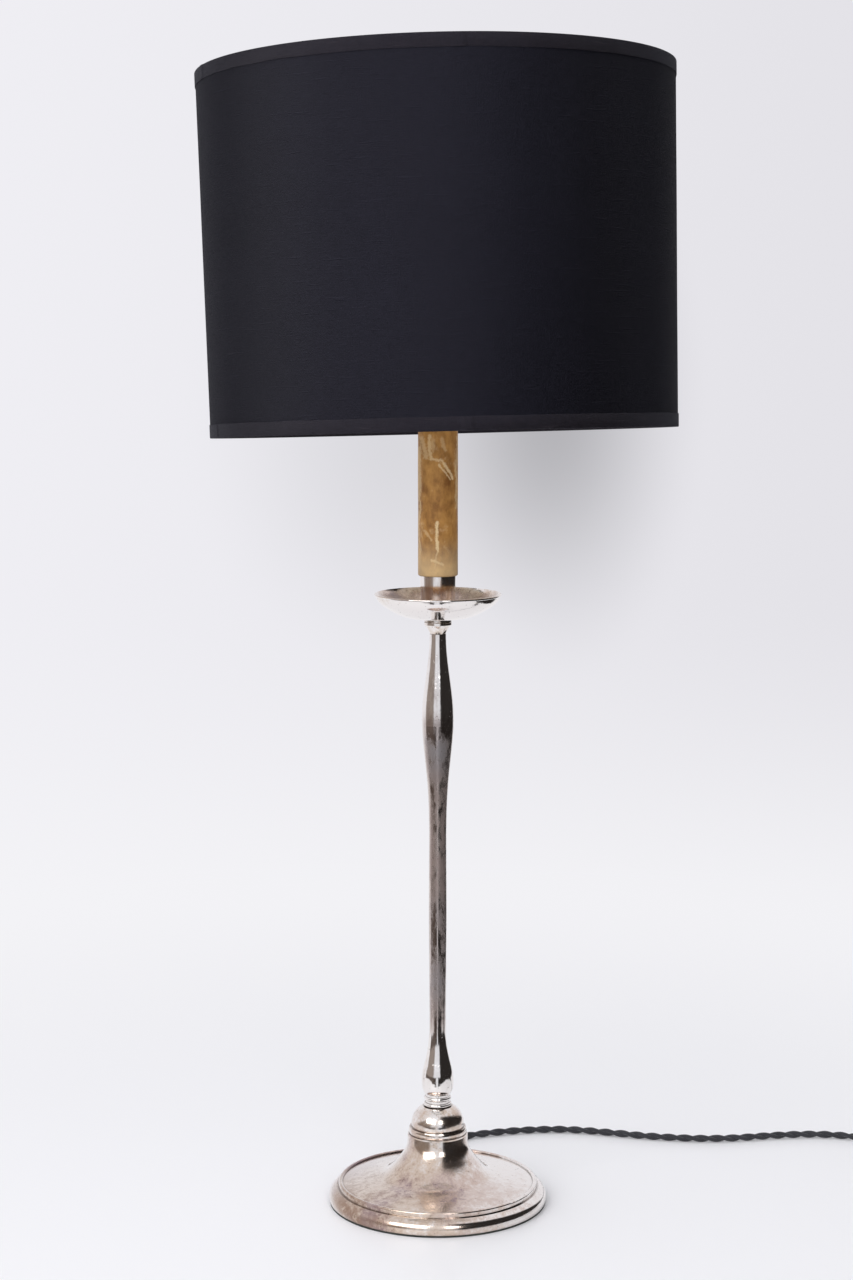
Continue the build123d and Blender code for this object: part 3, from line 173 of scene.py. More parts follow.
class Board:
    """The node tree of one material or of the world."""

    def __init__(self, tree: bpy.types.NodeTree) -> None:
        """Starts on an empty tree."""
        self.tree = tree
        tree.nodes.clear()

    def node(self, kind: str, settings: dict | None = None, sockets: dict | None = None) -> bpy.types.Node:
        """Adds a node.

        Args:
            kind: the node's type.
            settings: its own properties, which are set first.
            sockets: value or link for each input, by name or number.

        Returns:
            The new node.
        """
        made = self.tree.nodes.new(kind)
        for name, value in (settings or {}).items():
            setattr(made, name, value)
        for name, value in (sockets or {}).items():
            if isinstance(value, Signal):
                value = value.socket
            if isinstance(value, bpy.types.NodeSocket):
                self.tree.links.new(value, made.inputs[name])
            else:
                made.inputs[name].default_value = value
        return made

    def place(self, stretch: Triple = (1.0, 1.0, 1.0)) -> bpy.types.NodeSocket:
        """Object coordinates in metres.

        Args:
            stretch: factor for each axis.

        Returns:
            The coordinates, each multiplied by its factor.
        """
        source = self.node("ShaderNodeTexCoord").outputs["Object"]
        if stretch == (1.0, 1.0, 1.0):
            return source
        settings = {"operation": "MULTIPLY"}
        return self.node("ShaderNodeVectorMath", settings, {0: source, 1: stretch}).outputs[0]

    def axes(self, source: bpy.types.NodeSocket) -> tuple[Signal, Signal, Signal]:
        """The three numbers of a vector."""
        split = self.node("ShaderNodeSeparateXYZ", sockets={0: source})
        return tuple(Signal(self, output) for output in split.outputs)

    def vector(self, x: Signal | float, y: Signal | float, z: Signal | float = 0.0) -> bpy.types.NodeSocket:
        """A vector from three numbers."""
        return self.node("ShaderNodeCombineXYZ", sockets={0: x, 1: y, 2: z}).outputs[0]

    def unrolled(self) -> tuple[Signal, Signal]:
        """A piece's own flat coordinates: metres along it and metres across it."""
        across, up, _ = self.axes(self.node("ShaderNodeTexCoord").outputs["UV"])
        return across, up

    def noise(self, source: bpy.types.NodeSocket, scale: float, detail: float = 4.0,
              rough: float = 0.55) -> Signal:
        """Fractal noise about one half.

        Args:
            source: coordinates.
            scale: features to the metre.
            detail: octaves.
            rough: how strongly the finer octaves show.

        Returns:
            The noise's value.
        """
        sockets = {"Vector": source, "Scale": scale, "Detail": detail, "Roughness": rough}
        return Signal(self, self.node("ShaderNodeTexNoise", sockets=sockets).outputs[0])

    def cells(self, source: bpy.types.NodeSocket, scale: float) -> Signal:
        """Distance to the nearest of scattered points, in cell widths."""
        made = self.node("ShaderNodeTexVoronoi", sockets={"Vector": source, "Scale": scale})
        return Signal(self, made.outputs[0])

    def slant(self, start: float, end: float) -> Signal:
        """Smooth step from faces seen square on to faces seen at a slant."""
        made = self.node("ShaderNodeLayerWeight", sockets={0: 0.5})
        return Signal(self, made.outputs["Facing"]).ramp(start, end)

    def blend(self, share: Signal | float, low: Colour | bpy.types.NodeSocket,
              high: Colour | bpy.types.NodeSocket) -> bpy.types.NodeSocket:
        """Mixes two colours.

        Args:
            share: 0 gives low and 1 gives high.
            low: first colour or link.
            high: second colour or link.

        Returns:
            The mixed colour.
        """
        first, second = ((*c, 1.0) if isinstance(c, tuple) else c for c in (low, high))
        settings = {"data_type": "RGBA", "clamp_factor": True}
        return self.node("ShaderNodeMix", settings, {0: share, 6: first, 7: second}).outputs[2]

    def relief(self, height: Signal, depth: float, strength: float = 1.0) -> bpy.types.NodeSocket:
        """Bump normal from a height of 0 to 1 that stands for a depth in metres."""
        sockets = {"Height": height, "Distance": depth, "Strength": strength}
        return self.node("ShaderNodeBump", sockets=sockets).outputs[0]


@dataclass(frozen=True)
class Finish:
    """One surface finish, which paints a Principled shader."""

    name: str

    def paint(self, board: Board) -> dict:
        """Adds the finish's nodes.

        Args:
            board: the material's board.

        Returns:
            Value or link for each of the shader's sockets.
        """
        raise NotImplementedError

    def material(self) -> bpy.types.Material:
        """Makes the finish's material the first time it is asked for.

        Returns:
            The material.
        """
        found = bpy.data.materials.get(self.name)
        if found:
            return found
        made = bpy.data.materials.new(self.name)
        made.use_nodes = True
        board = Board(made.node_tree)
        shader = board.node("ShaderNodeBsdfPrincipled", sockets=self.paint(board))
        board.node("ShaderNodeOutputMaterial", sockets={0: shader.outputs[0]})
        return made


@dataclass(frozen=True)
class SilverPlate(Finish):
    """Old silver plate under a brown and violet film, with the film painted away to clean bright metal where
    a face is seen at a slant, as a painted edge highlight.

    The film lies thickest between the two heights of band. The two heights of flare tilt the shading of an
    upright side, as if it widened downwards between them. Scales are features to the metre.
    """

    tarnish: float = 0.4
    left_bias: float = 0.0
    streaking: float = 1.0
    polish: float = 0.09
    dulling: float = 0.30
    clouding: float = 24.0
    mottling: float = 0.32
    graining: float = 0.13
    band: Point = (-9000.0, 9000.0)
    band_fade: Point = (22.0, 12.0)
    upward_shade: float = 0.0
    flare: Point = (-9000.0, -8000.0)
    flare_tilt: float = 30.0
    crevice: float = 3.5
    beyond_band: float = 0.24
    mottle_scale: float = 170.0
    grain_scale: float = 620.0
    hue_scale: float = 15.0
    pit_scale: float = 330.0
    scratch_scale: Triple = (900.0, 900.0, 60.0)
    wave_scale: float = 60.0
    relief_depth: float = 0.22
    relief_strength: float = 0.55
    clean: Colour = (0.91, 0.87, 0.84)
    thin_film: Colour = (0.66, 0.53, 0.465)
    gold_film: Colour = (0.68, 0.555, 0.455)
    brown_film: Colour = (0.34, 0.23, 0.175)
    violet_film: Colour = (0.33, 0.265, 0.275)
    dirt: Colour = (0.09, 0.065, 0.05)

    def inside_band(self, z: Signal) -> Signal:
        """Share of the band at a height.

        Args:
            z: metres up.

        Returns:
            1 within the band, easing to 0 past both its ends.
        """
        low, high = (edge * MM for edge in self.band)
        past, short = (fade * MM for fade in self.band_fade)
        return z.between(low - past, low + short, high - short, high + past)

    def paint(self, board: Board) -> dict:
        """Thin and thick film in streaks, a painted highlight where faces are seen at a slant, pits, hair
        scratches and dirt in the crevices.

        Args:
            board: the material's board.

        Returns:
            Value or link for each of the shader's sockets.
        """
        place = board.place((1.0, 1.0, 1.0 / self.streaking))
        x, _, z = board.axes(board.place())
        # painted highlight: rubbed marks faces seen at a slant, not wear; there the film thins so the edges
        # show bright clean metal
        rubbed = board.slant(0.40, 0.85)
        clouds = board.noise(place, self.clouding, 5.0, 0.58)
        mottle = board.noise(place, self.mottle_scale, 5.0, 0.68)
        grain = board.noise(place, self.grain_scale, 3.0, 0.6)
        upward = board.axes(board.node("ShaderNodeNewGeometry").outputs["Normal"])[2].ramp(0.1, 0.7)
        even = 1.0 - self.graining - self.mottling
        cover = clouds * even + mottle * self.mottling + grain * self.graining
        cover = cover - (1.0 - self.inside_band(z)) * self.beyond_band
        # painted shade: faces that look up get more film through the upward share, which darkens them
        cover = cover - x * self.left_bias + upward * self.upward_shade
        thin = cover.ramp(0.62 - 0.34 * self.tarnish, 0.70 - 0.22 * self.tarnish) * (1.0 - rubbed * 0.90)
        thick = cover.ramp(0.67 - 0.20 * self.tarnish, 0.79 - 0.20 * self.tarnish) * (1.0 - rubbed * 0.85)
        hue = board.noise(place, self.hue_scale, 3.0).ramp(0.42, 0.60)
        skin = board.blend(thin, self.clean, board.blend(hue, self.gold_film, self.thin_film))
        skin = board.blend(thick * 0.85, skin, board.blend(hue, self.brown_film, self.violet_film))
        pits = board.cells(board.place(), self.pit_scale).ramp(0.20, 0.08) * mottle.ramp(0.47, 0.57)
        nearby = board.node("ShaderNodeAmbientOcclusion", {"samples": 6}, {"Distance": self.crevice * MM})
        grime = Signal(board, nearby.outputs["AO"]).ramp(0.86, 0.42) * (0.45 + mottle * 0.6)
        scratches = board.noise(board.place(self.scratch_scale), 1.0, 2.0)
        waves = board.noise(board.place(), self.wave_scale, 2.0)
        narrow, wide = (height * MM for height in reversed(self.flare))
        cone = z.ramp(narrow, wide) * self.flare_tilt
        height = scratches * 0.25 + waves - pits * 0.3 + cone
        return {
            "Base Color": board.blend((pits * 0.75).larger(grime), skin, self.dirt),
            "Metallic": 1.0 - thick * self.dulling - pits * 0.3,
            "Roughness": self.polish + thin * 0.06 + thick * 0.20 + grain * 0.04,
            "Normal": board.relief(height, self.relief_depth * MM, self.relief_strength),
        }


@dataclass(frozen=True)
class Stroke:
    """A pale rub on the front of the candle sleeve, from one point to another, x and z in millimetres."""

    start: Point
    end: Point
    width: float
    strength: float

    FRAY = 2.4
    EDGES = (1.1, 0.2)

    def mask(self, x: Signal, z: Signal, wander: Signal) -> Signal:
        """Where the rub shows.

        Args:
            x: metres to the right.
            z: metres up.
            wander: noise that frays its edge.

        Returns:
            The rub's strength over the surface.
        """
        (ax, az), (bx, bz) = ((a * MM, b * MM) for a, b in (self.start, self.end))
        dx, dz, width = bx - ax, bz - az, self.width * MM
        share = (((x - ax) * dx + (z - az) * dz) / (dx * dx + dz * dz)).held()
        off = ((x - ax - share * dx) ** 2 + (z - az - share * dz) ** 2) ** 0.5
        frayed = off + (wander - 0.5) * (width * self.FRAY)
        outer, inner = (edge * width for edge in self.EDGES)
        return frayed.ramp(outer, inner) * self.strength


@dataclass(frozen=True)
class WaxyCard(Finish):
    """Amber candle sleeve: mottled, rubbed pale in strokes and lighter at its foot.

    The drift is how far the mottling carries the strokes astray, in x and in z.
    """

    foot_z: float = 492.0
    foot_fade: Point = (34.0, 2.0)
    strokes: tuple[Stroke, ...] = ()
    dark: Colour = (0.165, 0.060, 0.008)
    light: Colour = (0.445, 0.222, 0.054)
    worn: Colour = (0.74, 0.57, 0.33)
    speck: Colour = (0.06, 0.028, 0.014)
    cloud_scale: float = 38.0
    blotch_scale: float = 85.0
    fleck_scale: float = 260.0
    fray_scale: float = 430.0
    speck_scale: float = 520.0
    fibre_scale: Triple = (420.0, 420.0, 90.0)
    drift: Point = (7.0, 10.0)

    def paint(self, board: Board) -> dict:
        """Mottled amber, the strokes over it, a paler foot and dark specks.

        Args:
            board: the material's board.

        Returns:
            Value or link for each of the shader's sockets.
        """
        place = board.place()
        x, y, z = board.axes(place)
        cloud = board.noise(place, self.cloud_scale, 5.0, 0.62)
        fibre = board.noise(board.place(self.fibre_scale), 1.0, 4.0, 0.6)
        blotch = board.noise(board.place((1.0, 1.0, 0.7)), self.blotch_scale, 4.0, 0.6)
        fleck = board.noise(board.place((1.0, 1.0, 0.55)), self.fleck_scale, 3.0, 0.6)
        tone = (cloud * 0.40 + blotch * 0.34 + fibre * 0.10 + fleck * 0.16).ramp(0.37, 0.63)
        amber = board.blend(tone, self.dark, self.light)
        high, low = ((self.foot_z + rise) * MM for rise in self.foot_fade)
        rubs = z.ramp(high, low) * (0.4 + cloud * 0.7) * 0.62
        front = y.ramp(0.004, -0.003)
        fray = board.noise(place, self.fray_scale, 4.0, 0.65)
        drift_x, drift_z = (reach * MM for reach in self.drift)
        near_x, near_z = x + (blotch - 0.5) * drift_x, z + (cloud - 0.5) * drift_z
        for stroke in self.strokes:
            rubs = rubs.larger(stroke.mask(near_x, near_z, fray) * front)
        rubs = rubs.larger((blotch - cloud).ramp(0.10, 0.26) * 0.30)
        specks = board.cells(place, self.speck_scale).ramp(0.12, 0.05) * cloud.ramp(0.48, 0.6) * 0.7
        return {
            "Base Color": board.blend(specks, board.blend(rubs, amber, self.worn), self.speck),
            "Roughness": 0.36 + cloud * 0.18 + rubs * 0.12,
            "Specular IOR Level": 0.30,
            "Normal": board.relief(cloud + fibre * 0.35, 0.0005, 0.5),
        }


@dataclass(frozen=True)
class SlubCloth(Finish):
    """Plain woven cloth with uneven weft threads and a little lint, duller where it is seen at a slant."""

    dark: Colour = (0.0010, 0.0009, 0.0017)
    light: Colour = (0.0034, 0.0032, 0.0056)
    lint: Colour = (0.16, 0.15, 0.16)
    gloss_tint: Colour = (0.74, 0.73, 1.0)
    sheen_tint: Colour = (0.70, 0.80, 0.95)
    thread: float = 0.42
    sheen: float = 0.0

    def paint(self, board: Board) -> dict:
        """Threads both ways, slubs along the weft and specks of lint.

        Args:
            board: the material's board.

        Returns:
            Value or link for each of the shader's sockets.
        """
        across, up = board.unrolled()
        pitch = self.thread * MM
        weft = board.noise(board.vector(across * 170.0, up * (0.5 / pitch)), 1.0, 3.0, 0.6)
        warp = board.noise(board.vector(across * (0.5 / pitch), up * 130.0, 3.7), 1.0, 3.0, 0.6)
        slub = board.noise(board.vector(across * 36.0, up * 620.0, 9.1), 1.0, 2.0).ramp(0.60, 0.74)
        broad = board.noise(board.vector(across, up), 16.0, 3.0)
        turn = 2.0 * math.pi / pitch
        weave = (up * turn).sine() * (across * turn).sine()
        tone = weft * 0.45 + warp * 0.35 + broad * 0.30 + slub * 0.30
        specks = board.cells(board.vector(across, up * 2.2), 62.0).ramp(0.030, 0.012) * weft.ramp(0.45, 0.6)
        cloth = board.blend(tone.ramp(0.30, 0.86), self.dark, self.light)
        return {
            "Base Color": board.blend(specks * 0.12, cloth, self.lint),
            "Roughness": 0.29 + weft * 0.12 + board.slant(0.12, 0.62) * 0.55,
            "Specular IOR Level": 0.33,
            "Specular Tint": (*self.gloss_tint, 1.0),
            "Sheen Weight": self.sheen,
            "Sheen Roughness": 0.45,
            "Sheen Tint": (*self.sheen_tint, 1.0),
            "Normal": board.relief(weave * 0.25 + weft + warp * 0.7 + slub * 0.8, 0.00030, 0.6),
        }


@dataclass(frozen=True)
class BraidedCloth(Finish):
    """Fine cotton braid round a flexible strand."""

    dark: Colour = (0.016, 0.016, 0.019)
    light: Colour = (0.072, 0.072, 0.084)
    pick: float = 1.1
    carriers: int = 8

    def paint(self, board: Board) -> dict:
        """Crossing threads, with length along the first coordinate and turns round the second.

        Args:
            board: the material's board.

        Returns:
            Value or link for each of the shader's sockets.
        """
        along, around = board.unrolled()
        run = along * (2.0 * math.pi / (self.pick * MM))
        turn = around * (2.0 * math.pi * self.carriers)
        braid = ((run + turn).sine() * (run - turn).sine()).ramp(-0.9, 0.9)
        fuzz = board.noise(board.place(), 1500.0, 3.0)
        broad = board.noise(board.place(), 55.0, 2.0)
        tone = braid * 0.5 + fuzz * 0.25 + broad * 0.35
        return {
            "Base Color": board.blend(tone.ramp(0.25, 0.95), self.dark, self.light),
            "Roughness": 0.74 + fuzz * 0.2,
            "Specular IOR Level": 0.3,
            "Sheen Weight": 0.3,
            "Sheen Roughness": 0.4,
            "Normal": board.relief(braid + fuzz * 0.3, 0.00018, 0.8),
        }


@dataclass(frozen=True)
class PlainMetal(Finish):
    """Solid or plated metal with a dull film and fine turning marks."""

    clean: Colour = (0.72, 0.50, 0.22)
    film: Colour = (0.30, 0.18, 0.07)
    polish: float = 0.24
    dullness: float = 0.5

    def paint(self, board: Board) -> dict:
        """Film in clouds over turning marks.

        Args:
            board: the material's board.

        Returns:
            Value or link for each of the shader's sockets.
        """
        place = board.place()
        clouds = board.noise(place, 45.0, 5.0, 0.6)
        marks = board.noise(board.place((60.0, 60.0, 2600.0)), 1.0, 2.0)
        film = clouds.ramp(0.40, 0.72) * self.dullness
        return {
            "Base Color": board.blend(film, self.clean, self.film),
            "Metallic": 1.0,
            "Roughness": self.polish + film * 0.25 + marks * 0.06,
            "Normal": board.relief(marks, 0.00004, 0.5),
        }


@dataclass(frozen=True)
class PaintedWire(Finish):
    """White enamel on wire, a little yellowed, with chips down to rust."""

    fresh: Colour = (0.80, 0.79, 0.75)
    yellowed: Colour = (0.68, 0.65, 0.56)
    rust: Colour = (0.12, 0.055, 0.03)

    def paint(self, board: Board) -> dict:
        """Enamel, yellowing and chips.

        Args:
            board: the material's board.

        Returns:
            Value or link for each of the shader's sockets.
        """
        place = board.place()
        age = board.noise(place, 30.0, 3.0)
        chips = board.noise(place, 260.0, 4.0, 0.7).ramp(0.68, 0.73)
        enamel = board.blend(age, self.fresh, self.yellowed)
        return {
            "Base Color": board.blend(chips, enamel, self.rust),
            "Roughness": 0.34 + age * 0.12 + chips * 0.35,
            "Normal": board.relief(age - chips * 0.6, 0.00015, 0.5),
        }


@dataclass(frozen=True)
class Moulding(Finish):
    """Glossy thermoset moulding with faint flow marks and rubbed dust."""

    tint: Colour = (0.022, 0.013, 0.010)
    swirl: Colour = (0.045, 0.024, 0.016)
    gloss: float = 0.22

    def paint(self, board: Board) -> dict:
        """Flow marks and a fine orange peel.

        Args:
            board: the material's board.

        Returns:
            Value or link for each of the shader's sockets.
        """
        place = board.place()
        flow = board.noise(board.place((90.0, 90.0, 30.0)), 1.0, 3.0)
        peel = board.noise(place, 900.0, 2.0)
        dust = board.noise(place, 240.0, 5.0, 0.7).ramp(0.56, 0.75)
        return {
            "Base Color": board.blend(flow.ramp(0.4, 0.65), self.tint, self.swirl),
            "Roughness": self.gloss + dust * 0.22,
            "Normal": board.relief(peel, 0.00006, 0.4),
        }


@dataclass(frozen=True)
class Matted(Finish):
    """Dull fibrous or grainy surface: felt, cast iron, fibre card or lining film."""

    low: Colour = (0.010, 0.012, 0.010)
    high: Colour = (0.035, 0.040, 0.034)
    grain: float = 900.0
    depth: float = 0.25
    rough: float = 0.85

    def paint(self, board: Board) -> dict:
        """Grain over broad tone.

        Args:
            board: the material's board.

        Returns:
            Value or link for each of the shader's sockets.
        """
        place = board.place()
        grain = board.noise(place, self.grain, 4.0, 0.65)
        broad = board.noise(place, self.grain * 0.04, 3.0)
        return {
            "Base Color": board.blend((grain * 0.6 + broad * 0.4).ramp(0.35, 0.65), self.low, self.high),
            "Roughness": self.rough + (grain - 0.5) * 0.15,
            "Normal": board.relief(grain, self.depth * MM, 0.5),
        }


@dataclass(frozen=True)
class FrostedGlass(Finish):
    """Soft white bulb, etched inside, with a clear outer face."""

    low: Colour = (0.86, 0.86, 0.84)
    high: Colour = (0.91, 0.91, 0.90)

    def paint(self, board: Board) -> dict:
        """Slight unevenness of the coating.

        Args:
            board: the material's board.

        Returns:
            Value or link for each of the shader's sockets.
        """
        coating = board.noise(board.place(), 40.0, 3.0)
        return {
            "Base Color": board.blend(coating, self.low, self.high),
            "Roughness": 0.30 + coating * 0.10,
            "Coat Weight": 0.35 + coating * 0.10,
            "Coat Roughness": 0.05,
        }


# --------------------------------------------------------------------------- mesh building
class Piece:
    """Builds meshes in millimetres and hands them to the frame."""

    SHARP = 32.0

    @classmethod
    def from_bmesh(cls, name: str, shape: bmesh.types.BMesh,
                   matrix: Matrix | None = None) -> bpy.types.Object:
        """Turns a finished bmesh in millimetres into an object in metres.

        Args:
            name: the object's name.
            shape: the mesh, which is freed.
            matrix: turn and shift in millimetres, applied before the change of unit.

        Returns:
            The linked object, with its place in its mesh.
        """
        bmesh.ops.recalc_face_normals(shape, faces=shape.faces)
        limit = math.radians(cls.SHARP)
        for edge in shape.edges:
            edge.smooth = len(edge.link_faces) != 2 or edge.calc_face_angle() < limit
        for face in shape.faces:
            face.smooth = True
        shape.transform(Matrix.Scale(MM, 4) @ (matrix or Matrix.Identity(4)))
        mesh = bpy.data.meshes.new(name)
        shape.to_mesh(mesh)
        shape.free()
        made = bpy.data.objects.new(name, mesh)
        bpy.context.scene.collection.objects.link(made)
        return made

    @staticmethod
    def lathe(outline: Sequence[Point], steps: int,
              offset: Callable[[Vector, float], float]) -> bmesh.types.BMesh:
        """Turns a closed outline about the upright axis.

        Args:
            outline: radius and height of each point, in order round the section.
            steps: divisions round the axis.
            offset: radial shift for a point and its angle in radians.

        Returns:
            The mesh, with metres round and along the section as its flat coordinates.
        """
        shape = bmesh.new()
        layer = shape.loops.layers.uv.new("flat")
        rows = []
        for step in range(steps):
            angle = math.radians(360.0 * step / steps)
            row = []
            for radius, height in outline:
                base = Vector((radius * math.cos(angle), radius * math.sin(angle), height))
                reach = radius + offset(base, angle)
                row.append(shape.verts.new((reach * math.cos(angle), reach * math.sin(angle), height)))
            rows.append(row)
        rows.append(rows[0])
        count = len(outline)
        lengths = [0.0]
        for index in range(count):
            lengths.append(lengths[-1] + math.dist(outline[index], outline[(index + 1) % count]))
        girth = math.tau * max(radius for radius, _ in outline) / steps
        for step, (row, after) in enumerate(zip(rows, rows[1:])):
            for index in range(count):
                beyond = (index + 1) % count
                face = shape.faces.new((row[index], after[index], after[beyond], row[beyond]))
                places = ((step, index), (step + 1, index), (step + 1, index + 1), (step, index + 1))
                for loop, (turn, rise) in zip(face.loops, places):
                    loop[layer].uv = (turn * girth * MM, lengths[rise] * MM)
        return shape

    @staticmethod
    def tube(path: Sequence[Vector], radius: float, sides: int, ups: Sequence[Vector]) -> bmesh.types.BMesh:
        """Makes a round closed tube along points.

        Args:
            path: the tube's middle line.
            radius: its radius.
            sides: flat sides round it.
            ups: direction of its first corner at each point.

        Returns:
            The mesh, with metres along it and turns round it as its flat coordinates.
        """
        shape = bmesh.new()
        layer = shape.loops.layers.uv.new("flat")
        rows, run = [], [0.0]
        for index, (point, up) in enumerate(zip(path, ups)):
            way = (path[min(index + 1, len(path) - 1)] - path[max(index - 1, 0)]).normalized()
            side = way.cross(up).normalized()
            top = side.cross(way)
            spokes = (math.tau * side_index / sides for side_index in range(sides))
            rows.append([shape.verts.new(point + (side * math.cos(turn) + top * math.sin(turn)) * radius)
                         for turn in spokes])
            if index:
                run.append(run[-1] + (point - path[index - 1]).length)
        for index, (row, after) in enumerate(zip(rows, rows[1:])):
            for side_index in range(sides):
                beyond = (side_index + 1) % sides
                face = shape.faces.new((row[side_index], row[beyond], after[beyond], after[side_index]))
                places = ((index, side_index), (index, side_index + 1), (index + 1, side_index + 1),
                          (index + 1, side_index))
                for loop, (step, turn) in zip(face.loops, places):
                    loop[layer].uv = (run[step] * MM, turn / sides)
        shape.faces.new(rows[0])
        shape.faces.new(rows[-1])
        return shape

    @staticmethod
    def hand_over(piece: bpy.types.Object, finish: Finish, slot: Slot, body: str,
                  *nodes: str) -> bpy.types.Object:
        """Finishes a new piece and gives it to the frame.

        Args:
            piece: the new piece.
            finish: its finish.
            slot: its material slot; not used.
            body: the body that it rides on.
            nodes: the CAD nodes that it stands for.

        Returns:
            The piece.
        """
        piece.data.materials.append(finish.material())
        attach(piece, body)
        if nodes:
            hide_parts(*nodes)
        LOG.info("made %s for %s", piece.name, ", ".join(nodes) or "detail")
        return piece


class Dresser:
    """Puts finishes on the frame's own nodes."""

    def __init__(self, nodes: dict[str, bpy.types.Object]) -> None:
        """Keeps the frame's nodes."""
        self.nodes = nodes

    def dress(self, finish: Finish, *names: str) -> None:
        """Gives CAD nodes a finish.

        Args:
            finish: the finish.
            names: the nodes.
        """
        for name in names:
            node = self.nodes[name]
            if not node.material_slots:
                node.data.materials.append(finish.material())
            for slot in node.material_slots:
                slot.material = finish.material()
            LOG.info("dressed %s in %s", name, finish.name)


# --------------------------------------------------------------------------- sub-assemblies
@dataclass
class SilverColumn:
    """Foot, collar, stem, cup, pan and nozzle in silver plate, with the iron and felt under them."""

    foot: Finish = SilverPlate(
        "foot silver", tarnish=0.80, left_bias=1.92, polish=0.08, dulling=0.20, clouding=13.0, mottling=0.36,
        brown_film=(0.27, 0.160, 0.110), violet_film=(0.28, 0.200, 0.240), flare=(36.0, 66.0))
    collar: Finish = SilverPlate("collar silver", tarnish=0.62, polish=0.11, clouding=34.0)
    stem: Finish = SilverPlate(
        "stem silver", tarnish=1.12, streaking=3.0, polish=0.06, dulling=0.34, clouding=40.0, mottling=0.40,
        thin_film=(0.58, 0.51, 0.49), gold_film=(0.58, 0.50, 0.46), brown_film=(0.32, 0.25, 0.23),
        violet_film=(0.28, 0.285, 0.31), band=(145.0, 372.0))
    cup: Finish = SilverPlate(
        "cup silver", tarnish=0.55, polish=0.10, dulling=0.45, clouding=60.0, thin_film=(0.76, 0.66, 0.58),
        gold_film=(0.76, 0.66, 0.56), brown_film=(0.58, 0.48, 0.40), violet_film=(0.58, 0.50, 0.45))
    pan: Finish = SilverPlate(
        "pan silver", tarnish=0.26, polish=0.05, clouding=16.0, mottling=0.18, upward_shade=0.22)
    nozzle: Finish = SilverPlate(
        "nozzle silver", tarnish=0.50, streaking=8.0, polish=0.09, clouding=60.0, dulling=0.1)
    felt: Finish = Matted("black felt")
    iron: Finish = Matted("cast iron", (0.020, 0.019, 0.018), (0.060, 0.056, 0.052), 420.0, 0.5, 0.7)
    bush: Finish = Moulding("rubbed black bush", (0.012, 0.012, 0.012), (0.022, 0.021, 0.021), 0.42)
    zinc: Finish = PlainMetal("zinc plate", (0.62, 0.62, 0.65), (0.36, 0.36, 0.38), 0.34, 0.6)
    pipe: Finish = PlainMetal("pipe brass")

    def build(self, dresser: Dresser) -> None:
        """Dresses the column's nodes.

        Args:
            dresser: the frame's nodes, to be given finishes.
        """
        dresser.dress(self.foot, "foot_shell")
        dresser.dress(self.collar, "foot_collar")
        dresser.dress(self.stem, "stem")
        dresser.dress(self.cup, "neck_cup")
        dresser.dress(self.pan, "drip_pan")
        dresser.dress(self.nozzle, "candle_nozzle")
        dresser.dress(self.felt, "felt_pad")
        dresser.dress(self.iron, "base_weight")
        dresser.dress(self.bush, "cord_grommet")
        dresser.dress(self.zinc, "foot_washer", "foot_nut", "nozzle_nut")
        dresser.dress(self.pipe, "lamp_pipe")


@dataclass
class CandleSleeve:
    """Waxy tube with a slightly uneven side and a softened foot."""

    radius: float = 15.3
    wall: float = 1.7
    foot_round: float = 1.1
    unevenness: float = 0.30
    dent_spacing: float = 0.09
    rows: int = 44
    steps: int = 96
    strokes: tuple[Stroke, ...] = (
        Stroke((-4.5, 582.0), (4.0, 579.5), 1.4, 0.50),
        Stroke((4.0, 579.5), (11.0, 566.0), 1.1, 0.60),
        Stroke((1.5, 577.5), (8.5, 565.0), 0.9, 0.50),
        Stroke((-5.5, 598.0), (-5.0, 582.0), 2.0, 0.45),
        Stroke((-12.5, 597.0), (-9.0, 584.0), 3.2, 0.34),
        Stroke((3.0, 597.0), (5.5, 588.0), 2.0, 0.25),
        Stroke((-1.0, 534.0), (-0.4, 512.0), 1.6, 0.72),
        Stroke((-0.4, 514.0), (-1.6, 499.0), 1.3, 0.50),
        Stroke((-4.5, 504.5), (4.5, 501.0), 1.7, 0.62),
        Stroke((3.5, 501.5), (10.0, 495.0), 1.4, 0.45),
        Stroke((-10.0, 497.5), (8.0, 494.5), 1.3, 0.45),
        Stroke((-9.5, 527.0), (-5.0, 520.0), 1.5, 0.28),
        Stroke((5.0, 515.0), (10.0, 508.0), 2.0, 0.25),
        Stroke((-14.2, 590.0), (-14.4, 500.0), 1.6, 0.42),
        Stroke((13.8, 598.0), (14.2, 545.0), 1.4, 0.36),
    )

    def build(self) -> None:
        """Makes the sleeve in place of its node."""
        low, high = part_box("candle_sleeve")
        bottom, top = low.z / MM, high.z / MM
        inner = self.radius - self.wall
        edge = self.foot_round
        foot = [(self.radius - edge + edge * math.sin(math.radians(a)),
                 bottom + edge - edge * math.cos(math.radians(a))) for a in (0, 30, 60, 90)]
        side = [(self.radius, bottom + edge + (top - bottom - edge) * row / self.rows)
                for row in range(1, self.rows + 1)]
        outline = [(inner, bottom), *foot, *side, (inner, top)]

        def uneven(place: Vector, _angle: float) -> float:
            """Hand-rubbed side, never outside the node's radius.

            Args:
                place: a point of the outline.
                _angle: its angle, which changes nothing here.

            Returns:
                How far the point moves outwards.
            """
            if math.hypot(place.x, place.y) < inner + 0.1:
                return 0.0
            dent = noise.noise(Vector((place.x, place.y, place.z * 0.6)) * self.dent_spacing)
            return -self.unevenness * (0.5 + 0.5 * dent)

        sleeve = Piece.from_bmesh("waxed_sleeve", Piece.lathe(outline, self.steps, uneven))
        finish = WaxyCard("waxed amber card", bottom, strokes=self.strokes)
        Piece.hand_over(sleeve, finish, Slot.CANDLE, "lamp_stand", "candle_sleeve")


